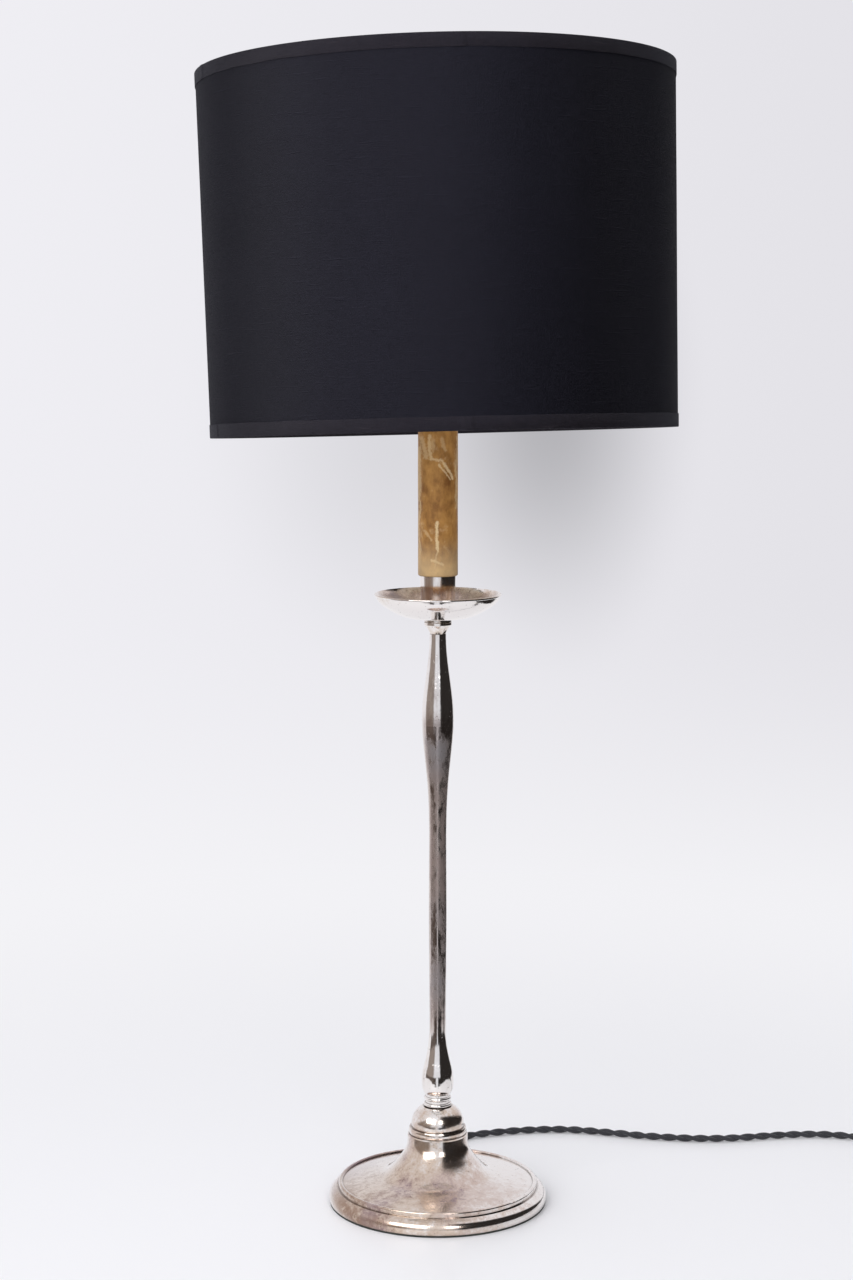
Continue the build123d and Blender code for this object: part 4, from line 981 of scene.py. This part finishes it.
@dataclass
class SocketAndHarp:
    """Brass harp, socket and their moulded parts, all hidden by the shade from the front."""

    brass: Finish = PlainMetal("harp brass")
    moulding: Finish = Moulding("brown moulding")
    card: Finish = Matted("fibre card", (0.10, 0.065, 0.035), (0.22, 0.15, 0.09), 500.0, 0.1, 0.8)
    aluminium: Finish = PlainMetal("cap aluminium", (0.78, 0.78, 0.79), (0.52, 0.52, 0.54), 0.28, 0.5)
    glass: Finish = FrostedGlass("frosted bulb")
    vitrite: Finish = Moulding("black vitrite", (0.006, 0.006, 0.007), (0.012, 0.012, 0.014), 0.12)

    def build(self, dresser: Dresser) -> None:
        """Dresses the nodes between the sleeve and the finial.

        Args:
            dresser: the frame's nodes, to be given finishes.
        """
        dresser.dress(self.brass, "sleeve_cap", "harp_saddle", "harp_bow", "harp_stud", "ferrule_left",
                      "ferrule_right", "socket_cap", "socket_shell", "terminal_screws", "centre_contact",
                      "finial", "plug_blades")
        dresser.dress(self.moulding, "socket_body", "switch_key")
        dresser.dress(self.card, "socket_liner")
        dresser.dress(self.aluminium, "screw_shell", "bulb_cap", "bulb_tip")
        dresser.dress(self.glass, "bulb_glass")
        dresser.dress(self.vitrite, "bulb_insulator")


@dataclass
class DrumShade:
    """Cloth drum on a stiff lining, hung crooked on its hub, with folded tape over both edges."""

    cloth: Finish = SlubCloth("black slub cloth")
    tape_cloth: Finish = SlubCloth("black edge tape", (0.0040, 0.0030, 0.0036), (0.0150, 0.0115, 0.0130),
                                   thread=0.36, sheen=0.04)
    film: Finish = Matted("lining film", (0.74, 0.72, 0.66), (0.82, 0.80, 0.75), 260.0, 0.03, 0.5)
    enamel: Finish = PaintedWire("white wire enamel")
    top_radius: float = 178.0
    bottom_radius: float = 174.9
    height: float = 268.2
    recess: float = 43.4
    lean_back: float = 2.8
    lean_side: float = 1.45
    shift: float = -1.1
    cloth_thickness: float = 0.6
    lining_gap: float = 0.65
    lining_thickness: float = 0.9
    slackness: float = 0.16
    slack_scale: float = 0.011
    seam_angle: float = 118.0
    seam_width: float = 11.0
    seam_rise: float = 0.35
    tape_height: float = 10.0
    tape_thickness: float = 0.5
    tape_gap: float = 0.05
    tape_crown: float = 0.16
    tape_inside: float = 4.2
    tape_inner_height: float = 3.0
    tape_joins: tuple[float, ...] = (-162.0, -86.0)
    tape_lap: float = 7.0
    tape_lap_rise: float = 0.45
    tape_waver: float = 0.05
    tape_waver_scale: float = 0.05
    tape_edge_waver: float = 0.35
    tape_edge_scale: float = 0.045
    rows: int = 18
    steps: int = 240
    tape_steps: int = 720

    @property
    def hub_z(self) -> float:
        """Height of the hub's middle, about which the shade leans."""
        low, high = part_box("shade_hub")
        return 0.5 * (low.z + high.z) / MM

    @property
    def base_z(self) -> float:
        """Height of the upright shade's bottom edge."""
        return self.hub_z + self.recess - self.height

    def lean(self) -> Matrix:
        """Turns an upright shade into the way it hangs.

        Returns:
            The turn about the hub, and the shift, in millimetres.
        """
        hub = Matrix.Translation((0.0, 0.0, -self.hub_z))
        turn = Matrix.Rotation(math.radians(-self.lean_side), 4, "Y") @ Matrix.Rotation(
            math.radians(-self.lean_back), 4, "X")
        return Matrix.Translation((self.shift, 0.0, self.hub_z)) @ turn @ hub

    def radius(self, height: float) -> float:
        """Outer radius at a height over the bottom edge."""
        return self.bottom_radius + (self.top_radius - self.bottom_radius) * height / self.height

    def layer(self, name: str, inset: float, thickness: float, seam: float) -> bpy.types.Object:
        """Makes one layer of the drum's wall.

        Args:
            name: the piece's name.
            inset: how far its outer face lies inside the drum's.
            thickness: its thickness.
            seam: how far the lapped seam stands proud.

        Returns:
            The layer's object.
        """
        base = self.base_z
        edge = self.tape_thickness + self.tape_gap
        heights = [edge + (self.height - 2 * edge) * row / self.rows for row in range(self.rows + 1)]
        outer = [(self.radius(h) - inset, base + h) for h in heights]
        inner = [(self.radius(h) - inset - thickness, base + h) for h in reversed(heights)]
        lap = math.degrees(self.seam_width / self.bottom_radius)

        def offset(place: Vector, angle: float) -> float:
            """Lapped seam, and a slight slackness between the edges.

            Args:
                place: a point of the outline.
                angle: its angle in radians.

            Returns:
                How far the point moves outwards.
            """
            outward = math.hypot(place.x, place.y) > self.radius(place.z - base) - inset - 0.5 * thickness
            past = (math.degrees(angle) - self.seam_angle) % 360.0
            proud = seam if outward and past < lap else 0.0
            share = math.sin(math.pi * min(max((place.z - base) / self.height, 0.0), 1.0))
            return proud + self.slackness * noise.noise(place * self.slack_scale) * share

        return Piece.from_bmesh(name, Piece.lathe(outer + inner, self.steps, offset), self.lean())

    def tape(self, name: str, top: bool) -> bpy.types.Object:
        """Makes the folded tape of one edge, with its ends lapped.

        Args:
            name: the piece's name.
            top: whether it is the upper edge's.

        Returns:
            The tape's object.
        """
        base = self.base_z
        edge = self.height if top else 0.0
        inward = -1.0 if top else 1.0
        skin, gap, crown, inside = self.tape_thickness, self.tape_gap, self.tape_crown, -self.tape_inside

        def at(outset: float, depth: float) -> Point:
            """A point outset from the drum's face, at a depth in from the edge."""
            height = edge + inward * depth
            return (self.radius(height) + outset, base + height)

        outline = [
            at(gap, self.tape_height), at(gap + skin * 0.7, self.tape_height),
            at(gap + skin, self.tape_height - 0.5), at(gap + skin, self.tape_height * 0.5),
            at(gap + skin, 0.45), at(gap + skin - crown, crown), at(gap + skin - 0.45, 0.0),
            at(inside - gap, 0.0), at(inside - skin, 0.4), at(inside - skin, self.tape_inner_height),
            at(inside, self.tape_inner_height), at(inside, skin), at(gap, skin),
        ]
        lap = math.degrees(self.tape_lap / self.top_radius)

        def offset(place: Vector, angle: float) -> float:
            """Lapped ends on the outside, and a hand-pulled waver.

            Args:
                place: a point of the outline.
                angle: its angle in radians.

            Returns:
                How far the point moves outwards.
            """
            if math.hypot(place.x, place.y) - self.radius(place.z - base) < 0.3:
                return 0.0
            past = min((math.degrees(angle) - join) % 360.0 for join in self.tape_joins)
            waver = noise.noise(Vector((place.x, place.y, 40.0 * top)) * self.tape_waver_scale)
            return self.tape_waver * waver + (self.tape_lap_rise if past < lap else 0.0)

        shape = Piece.lathe(outline, self.tape_steps, offset)
        limit = base + edge + inward * (self.tape_height - 0.1)
        for vertex in shape.verts:
            if (vertex.co.z - limit) * inward >= -0.05:
                waver = noise.noise(Vector((vertex.co.x, vertex.co.y, 9.0)) * self.tape_edge_scale)
                vertex.co.z += self.tape_edge_waver * waver
        return Piece.from_bmesh(name, shape, self.lean())

    def build(self, dresser: Dresser) -> None:
        """Makes the cloth, lining and tapes, and dresses the wires.

        Args:
            dresser: the frame's nodes, to be given finishes.
        """
        cloth = self.layer("drum_cloth", 0.0, self.cloth_thickness, self.seam_rise)
        Piece.hand_over(cloth, self.cloth, Slot.SHADE, "shade", "shade_fabric")
        lining = self.layer("drum_lining", self.lining_gap, self.lining_thickness, 0.0)
        Piece.hand_over(lining, self.film, Slot.BACKING, "shade", "shade_lining")
        top, bottom = self.tape("edge_tape_top", True), self.tape("edge_tape_bottom", False)
        Piece.hand_over(top, self.tape_cloth, Slot.TRIM, "shade", "shade_trim_top")
        Piece.hand_over(bottom, self.tape_cloth, Slot.TRIM, "shade", "shade_trim_bottom")
        dresser.dress(self.enamel, "shade_ring_top", "shade_ring_bottom", "shade_hub", "spider_arm_back",
                      "spider_arm_left", "spider_arm_right")


@dataclass
class TwistedCord:
    """Two cloth-covered strands twisted together, laid loosely to a flat coil and a plug."""

    diameter: float = 6.0
    strand_radius: float = 1.72
    twist_pitch: float = 26.7
    spacing: float = 1.6
    sides: int = 12
    exit: Triple = (0.0, 86.4, 7.5)
    route: tuple[Triple, ...] = (
        (0.0, 97.0, 7.5), (0.4, 109.2, 5.2), (2.4, 121.0, 3.1), (8.0, 132.4, 3.0), (16.6, 142.0, 3.0),
        (29.6, 149.8, 3.0), (50.0, 157.2, 3.0), (77.0, 163.6, 3.0), (110.0, 165.8, 3.0),
        (146.0, 156.6, 3.0), (184.0, 144.6, 3.0), (236.0, 138.4, 3.0), (292.0, 150.6, 3.0),
        (328.0, 152.6, 3.0), (362.0, 142.0, 3.0), (386.0, 137.6, 3.0),
    )
    run_end: Point = (404.0, 137.6)
    coil_radius: float = 39.0
    half_turns: int = 12
    side_pitch: float = 6.6
    layer_pitch: float = 6.5
    tail: tuple[Triple, ...] = (
        (20.0, 0.0, 0.0), (37.6, -8.4, -3.2), (49.4, -23.2, -6.2), (54.4, -40.6, -5.4),
        (54.8, -56.8, -2.0), (54.8, -71.0, -2.0),
    )
    points_per_half_turn: int = 8
    line_steps: int = 12
    braid: Finish = BraidedCloth("black cotton braid")
    plug: Finish = Moulding("black plug moulding", (0.012, 0.011, 0.011), (0.020, 0.018, 0.018), 0.30)
    lead: Finish = Matted("lead braid", (0.012, 0.012, 0.014), (0.05, 0.05, 0.06), 1200.0, 0.1, 0.8)

    def coil_points(self) -> list[Vector]:
        """Places the coil: in on the floor, up in one half turn, and out on top.

        Returns:
            Its control points.
        """
        climb = self.half_turns // 2 - 1
        step = math.pi / self.points_per_half_turn
        x = self.run_end[0] + self.diameter
        y, height, side = self.run_end[1], 0.5 * self.diameter, 1.0
        points = []
        for index in range(self.half_turns):
            radius = self.coil_radius - 0.5 * self.side_pitch * (climb - abs(index - climb))
            centre = y - side * radius
            for count in range(self.points_per_half_turn):
                angle = (count + 0.5) * step
                reach = radius / math.cos(0.5 * step)
                share = (count + 0.5) / self.points_per_half_turn
                rise = self.layer_pitch * share if index == climb else 0.0
                points.append(Vector((x + side * reach * math.sin(angle),
                                      centre + side * reach * math.cos(angle), height + rise)))
            y -= 2.0 * side * radius
            side = -side
            if index == climb:
                height += self.layer_pitch
        return points

    def control_points(self) -> list[Vector]:
        """Places the whole cord.

        Returns:
            Its control points, from the bush to the plug's neck.
        """
        start = [Vector(self.exit), *map(Vector, self.route), Vector((*self.run_end, 0.5 * self.diameter))]
        coil = self.coil_points()
        end = Vector((self.run_end[0] + 2.0 * self.diameter, self.run_end[1], coil[-1].z))
        return [*start, *coil, *(end + Vector(step) for step in self.tail)]

    def centreline(self) -> list[Vector]:
        """Runs a smooth line along the control points.

        Returns:
            Evenly spaced points of the line, in millimetres.
        """
        curve = bpy.data.curves.new("cord_line", "CURVE")
        curve.dimensions = "3D"
        curve.resolution_u = self.line_steps
        spline = curve.splines.new("NURBS")
        control = self.control_points()
        spline.points.add(len(control) - 1)
        for point, place in zip(spline.points, control):
            point.co = (*place, 1.0)
        spline.order_u = 3
        spline.use_endpoint_u = True
        holder = bpy.data.objects.new("cord_line", curve)
        bpy.context.scene.collection.objects.link(holder)
        bpy.context.view_layer.update()
        read = bpy.data.meshes.new_from_object(holder)
        places = [vertex.co.copy() for vertex in read.vertices]
        bpy.data.objects.remove(holder)
        bpy.data.curves.remove(curve)
        bpy.data.meshes.remove(read)
        return self.even(places)

    def even(self, places: Sequence[Vector]) -> list[Vector]:
        """Resamples a line.

        Args:
            places: its points.

        Returns:
            Points at an even spacing along it.
        """
        total = sum((b - a).length for a, b in zip(places, places[1:]))
        count = round(total / self.spacing)
        wanted = [total * index / count for index in range(count + 1)]
        found, run, index = [], 0.0, 0
        for target in wanted:
            while index < len(places) - 2 and run + (places[index + 1] - places[index]).length < target:
                run += (places[index + 1] - places[index]).length
                index += 1
            span = (places[index + 1] - places[index]).length
            found.append(places[index].lerp(places[index + 1], min((target - run) / span, 1.0)))
        return found

    def strands(self, line: Sequence[Vector]) -> bmesh.types.BMesh:
        """Lays both strands round the line in a right-hand twist.

        Args:
            line: the cord's evenly spaced points.

        Returns:
            The mesh of both.
        """
        strand_radius, offset = self.strand_radius, 0.5 * self.diameter - self.strand_radius
        whole = bmesh.new()
        whole.loops.layers.uv.new("flat")
        for strand in (0, 1):
            path, ups, run = [], [], 0.0
            for index, place in enumerate(line):
                if index:
                    run += (place - line[index - 1]).length
                way = (line[min(index + 1, len(line) - 1)] - line[max(index - 1, 0)]).normalized()
                side = way.cross(Vector((0.0, 0.0, 1.0))).normalized()
                top = side.cross(way)
                angle = math.pi * strand + math.tau * run / self.twist_pitch
                spoke = side * math.cos(angle) - top * math.sin(angle)
                path.append(place + spoke * offset)
                ups.append(spoke)
            part = Piece.tube(path, strand_radius, self.sides, ups)
            holder = bpy.data.meshes.new("strand")
            part.to_mesh(holder)
            part.free()
            whole.from_mesh(holder)
            bpy.data.meshes.remove(holder)
        return whole

    def build(self, dresser: Dresser) -> None:
        """Makes the cord in place of its three solids, and dresses the plug and the lead.

        Args:
            dresser: the frame's nodes, to be given finishes.
        """
        line = self.centreline()
        cord = Piece.from_bmesh("twisted_cord", self.strands(line))
        Piece.hand_over(cord, self.braid, Slot.CORD, "lamp_stand", "cord_run", "cord_coil", "cord_tail")
        dresser.dress(self.plug, "plug_body")
        dresser.dress(self.lead, "inner_lead")
        LOG.info("cord length %.1f mm", sum((b - a).length for a, b in zip(line, line[1:])))
        [tuple(p * MM) for p in line]


# --------------------------------------------------------------------------- studio
@dataclass(frozen=True)
class Softbox:
    """A rectangular soft light aimed at the lamp's middle."""

    name: str
    place: Triple
    size: Point
    watts: float
    aim: Triple = (0.0, 0.0, 450.0)

    def build(self) -> None:
        """Adds the light."""
        data = bpy.data.lights.new(self.name, "AREA")
        data.shape = "RECTANGLE"
        data.size, data.size_y = (side * MM for side in self.size)
        data.energy = self.watts
        made = bpy.data.objects.new(self.name, data)
        made.location = Vector(self.place) * MM
        way = Vector(self.aim) - Vector(self.place)
        made.rotation_euler = way.to_track_quat("-Z", "Y").to_euler()
        bpy.context.scene.collection.objects.link(made)


@dataclass
class Studio:
    """Pale seamless floor, a dark room in front of it, soft lights and the camera.

    Where a colour depends on a direction, its side is metres to the right for each level metre, and its
    rise is metres upwards. Each shadow has a middle and half sizes in those two, and a depth.
    """

    camera_place: Triple = (-8.7, -1916.2, 683.4)
    pitch: float = 7.162
    lens: float = 71.16
    film_height: float = 36.0
    floor_radius: float = 150000.0
    floor_sides: int = 96
    floor_drop: float = 0.1
    floor_fade: Point = (200.0, 1200.0)
    paper: Colour = (0.872, 0.864, 0.888)
    paper_roughness: float = 0.30
    paper_gloss: float = 0.14
    backdrop: Colour = (0.840, 0.833, 0.868)
    backdrop_left: Colour = (0.872, 0.865, 0.906)
    backdrop_right: Colour = (0.765, 0.755, 0.795)
    backdrop_sides: Point = (-0.26, 0.26)
    foreground: Colour = (0.905, 0.902, 0.928)
    foreground_rise: Point = (-0.10, -0.27)
    shadow: Colour = (0.16, 0.16, 0.17)
    hidden_shadow: float = 0.13
    hidden_rise: Point = (-0.041, -0.010)
    shadows: tuple[tuple[Point, Point, float], ...] = (
        ((0.053, -0.031), (0.060, 0.118), 0.50), ((-0.010, -0.043), (0.091, 0.103), 0.19))
    room: Colour = (0.024, 0.021, 0.020)
    room_left: Colour = (0.300, 0.255, 0.230)
    room_under: Colour = (0.120, 0.096, 0.086)
    room_sides: Point = (0.12, -0.80)
    room_near: Point = (2600.0, 1300.0)
    window: Colour = (0.90, 0.92, 0.98)
    far_gap: Edges = (-0.62, -0.40, 0.24, 0.40)
    near_gap: Edges = (-0.22, -0.15, 0.03, 0.08)
    gap_share: float = 0.85
    pane: Edges = (-0.62, -0.42, 0.18, 0.34)
    pane_rise: Point = (0.14, 0.26)
    clutter_scale: Triple = (9.0, 9.0, 1.6)
    table_front: float = 290.0
    table_left: float = 620.0
    table_right: float = 500.0
    table_softness: float = 20.0
    table_waver: float = 100.0
    white_side: Point = (-0.383, 0.924)
    white_edge: Point = (0.42, 0.56)
    white_edge_up: Point = (0.42, 0.58)
    overhead: float = 1.25
    fill: float = 0.88
    fill_slope: float = 0.50
    fill_tint: Colour = (0.97, 0.98, 1.0)
    softboxes: tuple[Softbox, ...] = (
        Softbox("left window", (-1500.0, -2250.0, 1650.0), (2200.0, 1500.0), 31.0),
        Softbox("front strip", (640.0, -2300.0, 1250.0), (560.0, 900.0), 6.2),
    )

    def camera(self) -> None:
        """Places the camera where the photograph was taken from."""
        data = bpy.data.cameras.new("studio camera")
        data.sensor_fit = "VERTICAL"
        data.sensor_height = self.film_height
        data.lens = self.lens
        data.clip_end = 4.0 * self.floor_radius * MM
        made = bpy.data.objects.new("studio camera", data)
        made.location = Vector(self.camera_place) * MM
        made.rotation_euler = (math.radians(90.0 - self.pitch), 0.0, 0.0)
        bpy.context.scene.collection.objects.link(made)
        bpy.context.scene.camera = made

    def floor(self) -> None:
        """Makes the floor."""
        shape = bmesh.new()
        bmesh.ops.create_circle(shape, cap_ends=True, segments=self.floor_sides, radius=self.floor_radius)
        for vertex in shape.verts:
            vertex.co.z = -self.floor_drop
        made = Piece.from_bmesh("studio_floor", shape)
        material = bpy.data.materials.new("studio floor")
        material.use_nodes = True
        self.paint_floor(Board(material.node_tree))
        made.data.materials.append(material)

    def paint_floor(self, board: Board) -> None:
        """Paper that fades into the backdrop's glow, and that ends near the lamp where metal mirrors it.

        Args:
            board: the floor material's board.
        """
        place = board.place()
        x, y, _ = board.axes(place)
        reach = self.level(x, y)
        front, left, right = (side * MM for side in (self.table_front, self.table_left, self.table_right))
        soft = self.table_softness * MM
        ragged = (board.noise(place, 9.0, 2.0) - 0.5) * (self.table_waver * MM)
        past_front = (y + ragged).ramp(soft - front, -soft - front)
        past_left = (x + ragged).ramp(soft - left, -soft - left)
        past_right = (x + ragged).ramp(right - soft, right + soft)
        mirrored = Signal(board, board.node("ShaderNodeLightPath").outputs["Is Glossy Ray"])
        ended = past_front.larger(past_left).larger(past_right) * (1.0 - self.behind(x, y)) * mirrored
        eye_x, eye_y, eye_z = (value * MM for value in self.camera_place)
        paper = board.node("ShaderNodeBsdfPrincipled", sockets={
            "Base Color": (*self.paper, 1.0), "Roughness": self.paper_roughness,
            "Specular IOR Level": self.paper_gloss})
        glow = board.node("ShaderNodeEmission", sockets={
            "Color": self.wall(board, x - eye_x, y - eye_y, -eye_z)})
        dark = board.node("ShaderNodeEmission", sockets={
            "Color": self.darkness(board, x, y, reach.ramp(*(edge * MM for edge in self.room_near)))})
        seen = board.node("ShaderNodeMixShader", sockets={
            0: reach.ramp(*(edge * MM for edge in self.floor_fade)), 1: paper.outputs[0],
            2: glow.outputs[0]})
        mixed = board.node("ShaderNodeMixShader", sockets={
            0: ended, 1: seen.outputs[0], 2: dark.outputs[0]})
        board.node("ShaderNodeOutputMaterial", sockets={0: mixed.outputs[0]})

    @staticmethod
    def level(x: Signal, y: Signal) -> Signal:
        """Level length of a vector, never quite 0, so that it can divide."""
        return ((x ** 2.0 + y ** 2.0) ** 0.5).larger(0.001)

    def towards_white(self, x: Signal, y: Signal) -> Signal:
        """How far a direction turns to the white backdrop, which reaches further round on the left."""
        side_x, side_y = self.white_side
        return y * side_y + x * side_x

    def behind(self, x: Signal, y: Signal) -> Signal:
        """Share of the white backdrop in a level direction."""
        flat = self.level(x, y)
        return self.towards_white(x / flat, y / flat).ramp(*self.white_edge)

    def wall(self, board: Board, x: Signal, y: Signal, z: Signal | float) -> bpy.types.NodeSocket:
        """The backdrop's colour in a direction from the camera, with painted light: dimmer to the right,
        paler towards the foreground, and a painted shadow behind the shade.

        Args:
            board: the material's or the world's board.
            x: the direction's part to the right.
            y: its part away from the camera.
            z: its part upwards.

        Returns:
            The colour seen.
        """
        flat = self.level(x, y)
        across, rise = x / flat, z / flat
        shadow = 0.0
        for (side, up), (width, height), depth in self.shadows:
            off = (((across - side) / width) ** 2.0 + ((rise - up) / height) ** 2.0) ** 0.5
            shadow = off.ramp(1.0, 0.0) * depth + shadow
        too_deep = (shadow - self.hidden_shadow).larger(0.0)
        shadow = (shadow - too_deep * rise.ramp(*self.hidden_rise)) * y.ramp(-0.1, 0.1)
        # painted light: the backdrop is painted paler on the left and dimmer on the right, and paler again
        # low in the foreground
        plain = board.blend(across.ramp(*self.backdrop_sides), self.backdrop_left, self.backdrop_right)
        lit = board.blend(rise.ramp(*self.foreground_rise), plain, self.foreground)
        return board.blend(shadow, lit, self.shadow)

    def darkness(self, board: Board, x: Signal, y: Signal,
                 near: Signal | float = 0.0) -> bpy.types.NodeSocket:
        """The unlit room's colour: paler on the left far off, with a lit gap in front.

        Args:
            board: the material's or the world's board.
            x: how far to the right, or a share of it.
            y: how far to the back, or a share of it.
            near: 1 where the floor near the lamp is seen, 0 towards the horizon.

        Returns:
            The colour seen.
        """
        across = x / self.level(x, y)
        gap = (across.between(*self.far_gap) * (1.0 - near)).larger(across.between(*self.near_gap) * near)
        left = board.blend(near, self.room_left, self.room_under)
        unlit = board.blend(across.ramp(*self.room_sides), self.room, left)
        return board.blend(gap * self.gap_share, unlit, self.window)

    def mirrored_room(self, board: Board, way: bpy.types.NodeSocket) -> bpy.types.NodeSocket:
        """What the metal sees: white behind, a wide window in front, darkness beside it.

        Args:
            board: the world's board.
            way: the direction looked in.

        Returns:
            The colour seen.
        """
        x, y, z = board.axes(way)
        across = x / self.level(x, y)
        settings = {"operation": "MULTIPLY"}
        spread = board.node("ShaderNodeVectorMath", settings, {0: way, 1: self.clutter_scale})
        clutter = board.noise(spread.outputs[0], 1.0, 3.0).ramp(0.60, 0.54)
        pane = across.between(*self.pane) * z.ramp(*self.pane_rise)
        front = board.blend(pane * (0.35 + 0.65 * clutter), self.darkness(board, x, y), self.window)
        white = (self.towards_white(x, y) + z * self.overhead).ramp(*self.white_edge_up)
        return board.blend(white, front, self.backdrop)

    def world(self) -> None:
        """Backdrop for the eye, the mirrored room for metal, and a soft fill that comes from the left."""
        world = bpy.data.worlds.new("studio world")
        world.use_nodes = True
        bpy.context.scene.world = world
        board = Board(world.node_tree)
        way = board.node("ShaderNodeTexCoord").outputs["Generated"]
        x, y, z = board.axes(way)
        rays = board.node("ShaderNodeLightPath")
        glossy, through, seen = (Signal(board, rays.outputs[f"Is {kind} Ray"])
                                 for kind in ("Glossy", "Transmission", "Camera"))
        left, right = (tuple(part * self.fill * (1.0 + side * self.fill_slope) for part in self.fill_tint)
                       for side in (1, -1))
        soft = board.blend(x.ramp(-0.8, 0.8), left, right)
        colour = board.blend(glossy.larger(through), soft, self.mirrored_room(board, way))
        colour = board.blend(seen, colour, self.wall(board, x, y, z))
        back = board.node("ShaderNodeBackground", sockets={"Color": colour})
        board.node("ShaderNodeOutputWorld", sockets={0: back.outputs[0]})

    def build(self) -> None:
        """Makes the whole studio."""
        bpy.context.scene.view_settings.view_transform = "Standard"
        self.camera()
        self.floor()
        self.world()
        for softbox in self.softboxes:
            softbox.build()


def main() -> None:
    """Builds the lamp and its studio."""
    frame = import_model()
    dresser = Dresser(frame["nodes"])
    Studio().build()
    SilverColumn().build(dresser)
    CandleSleeve().build()
    SocketAndHarp().build(dresser)
    DrumShade().build(dresser)
    TwistedCord().build(dresser)


if __name__ == "__main__":
    logging.basicConfig(level=logging.INFO, format="%(message)s")
    main()
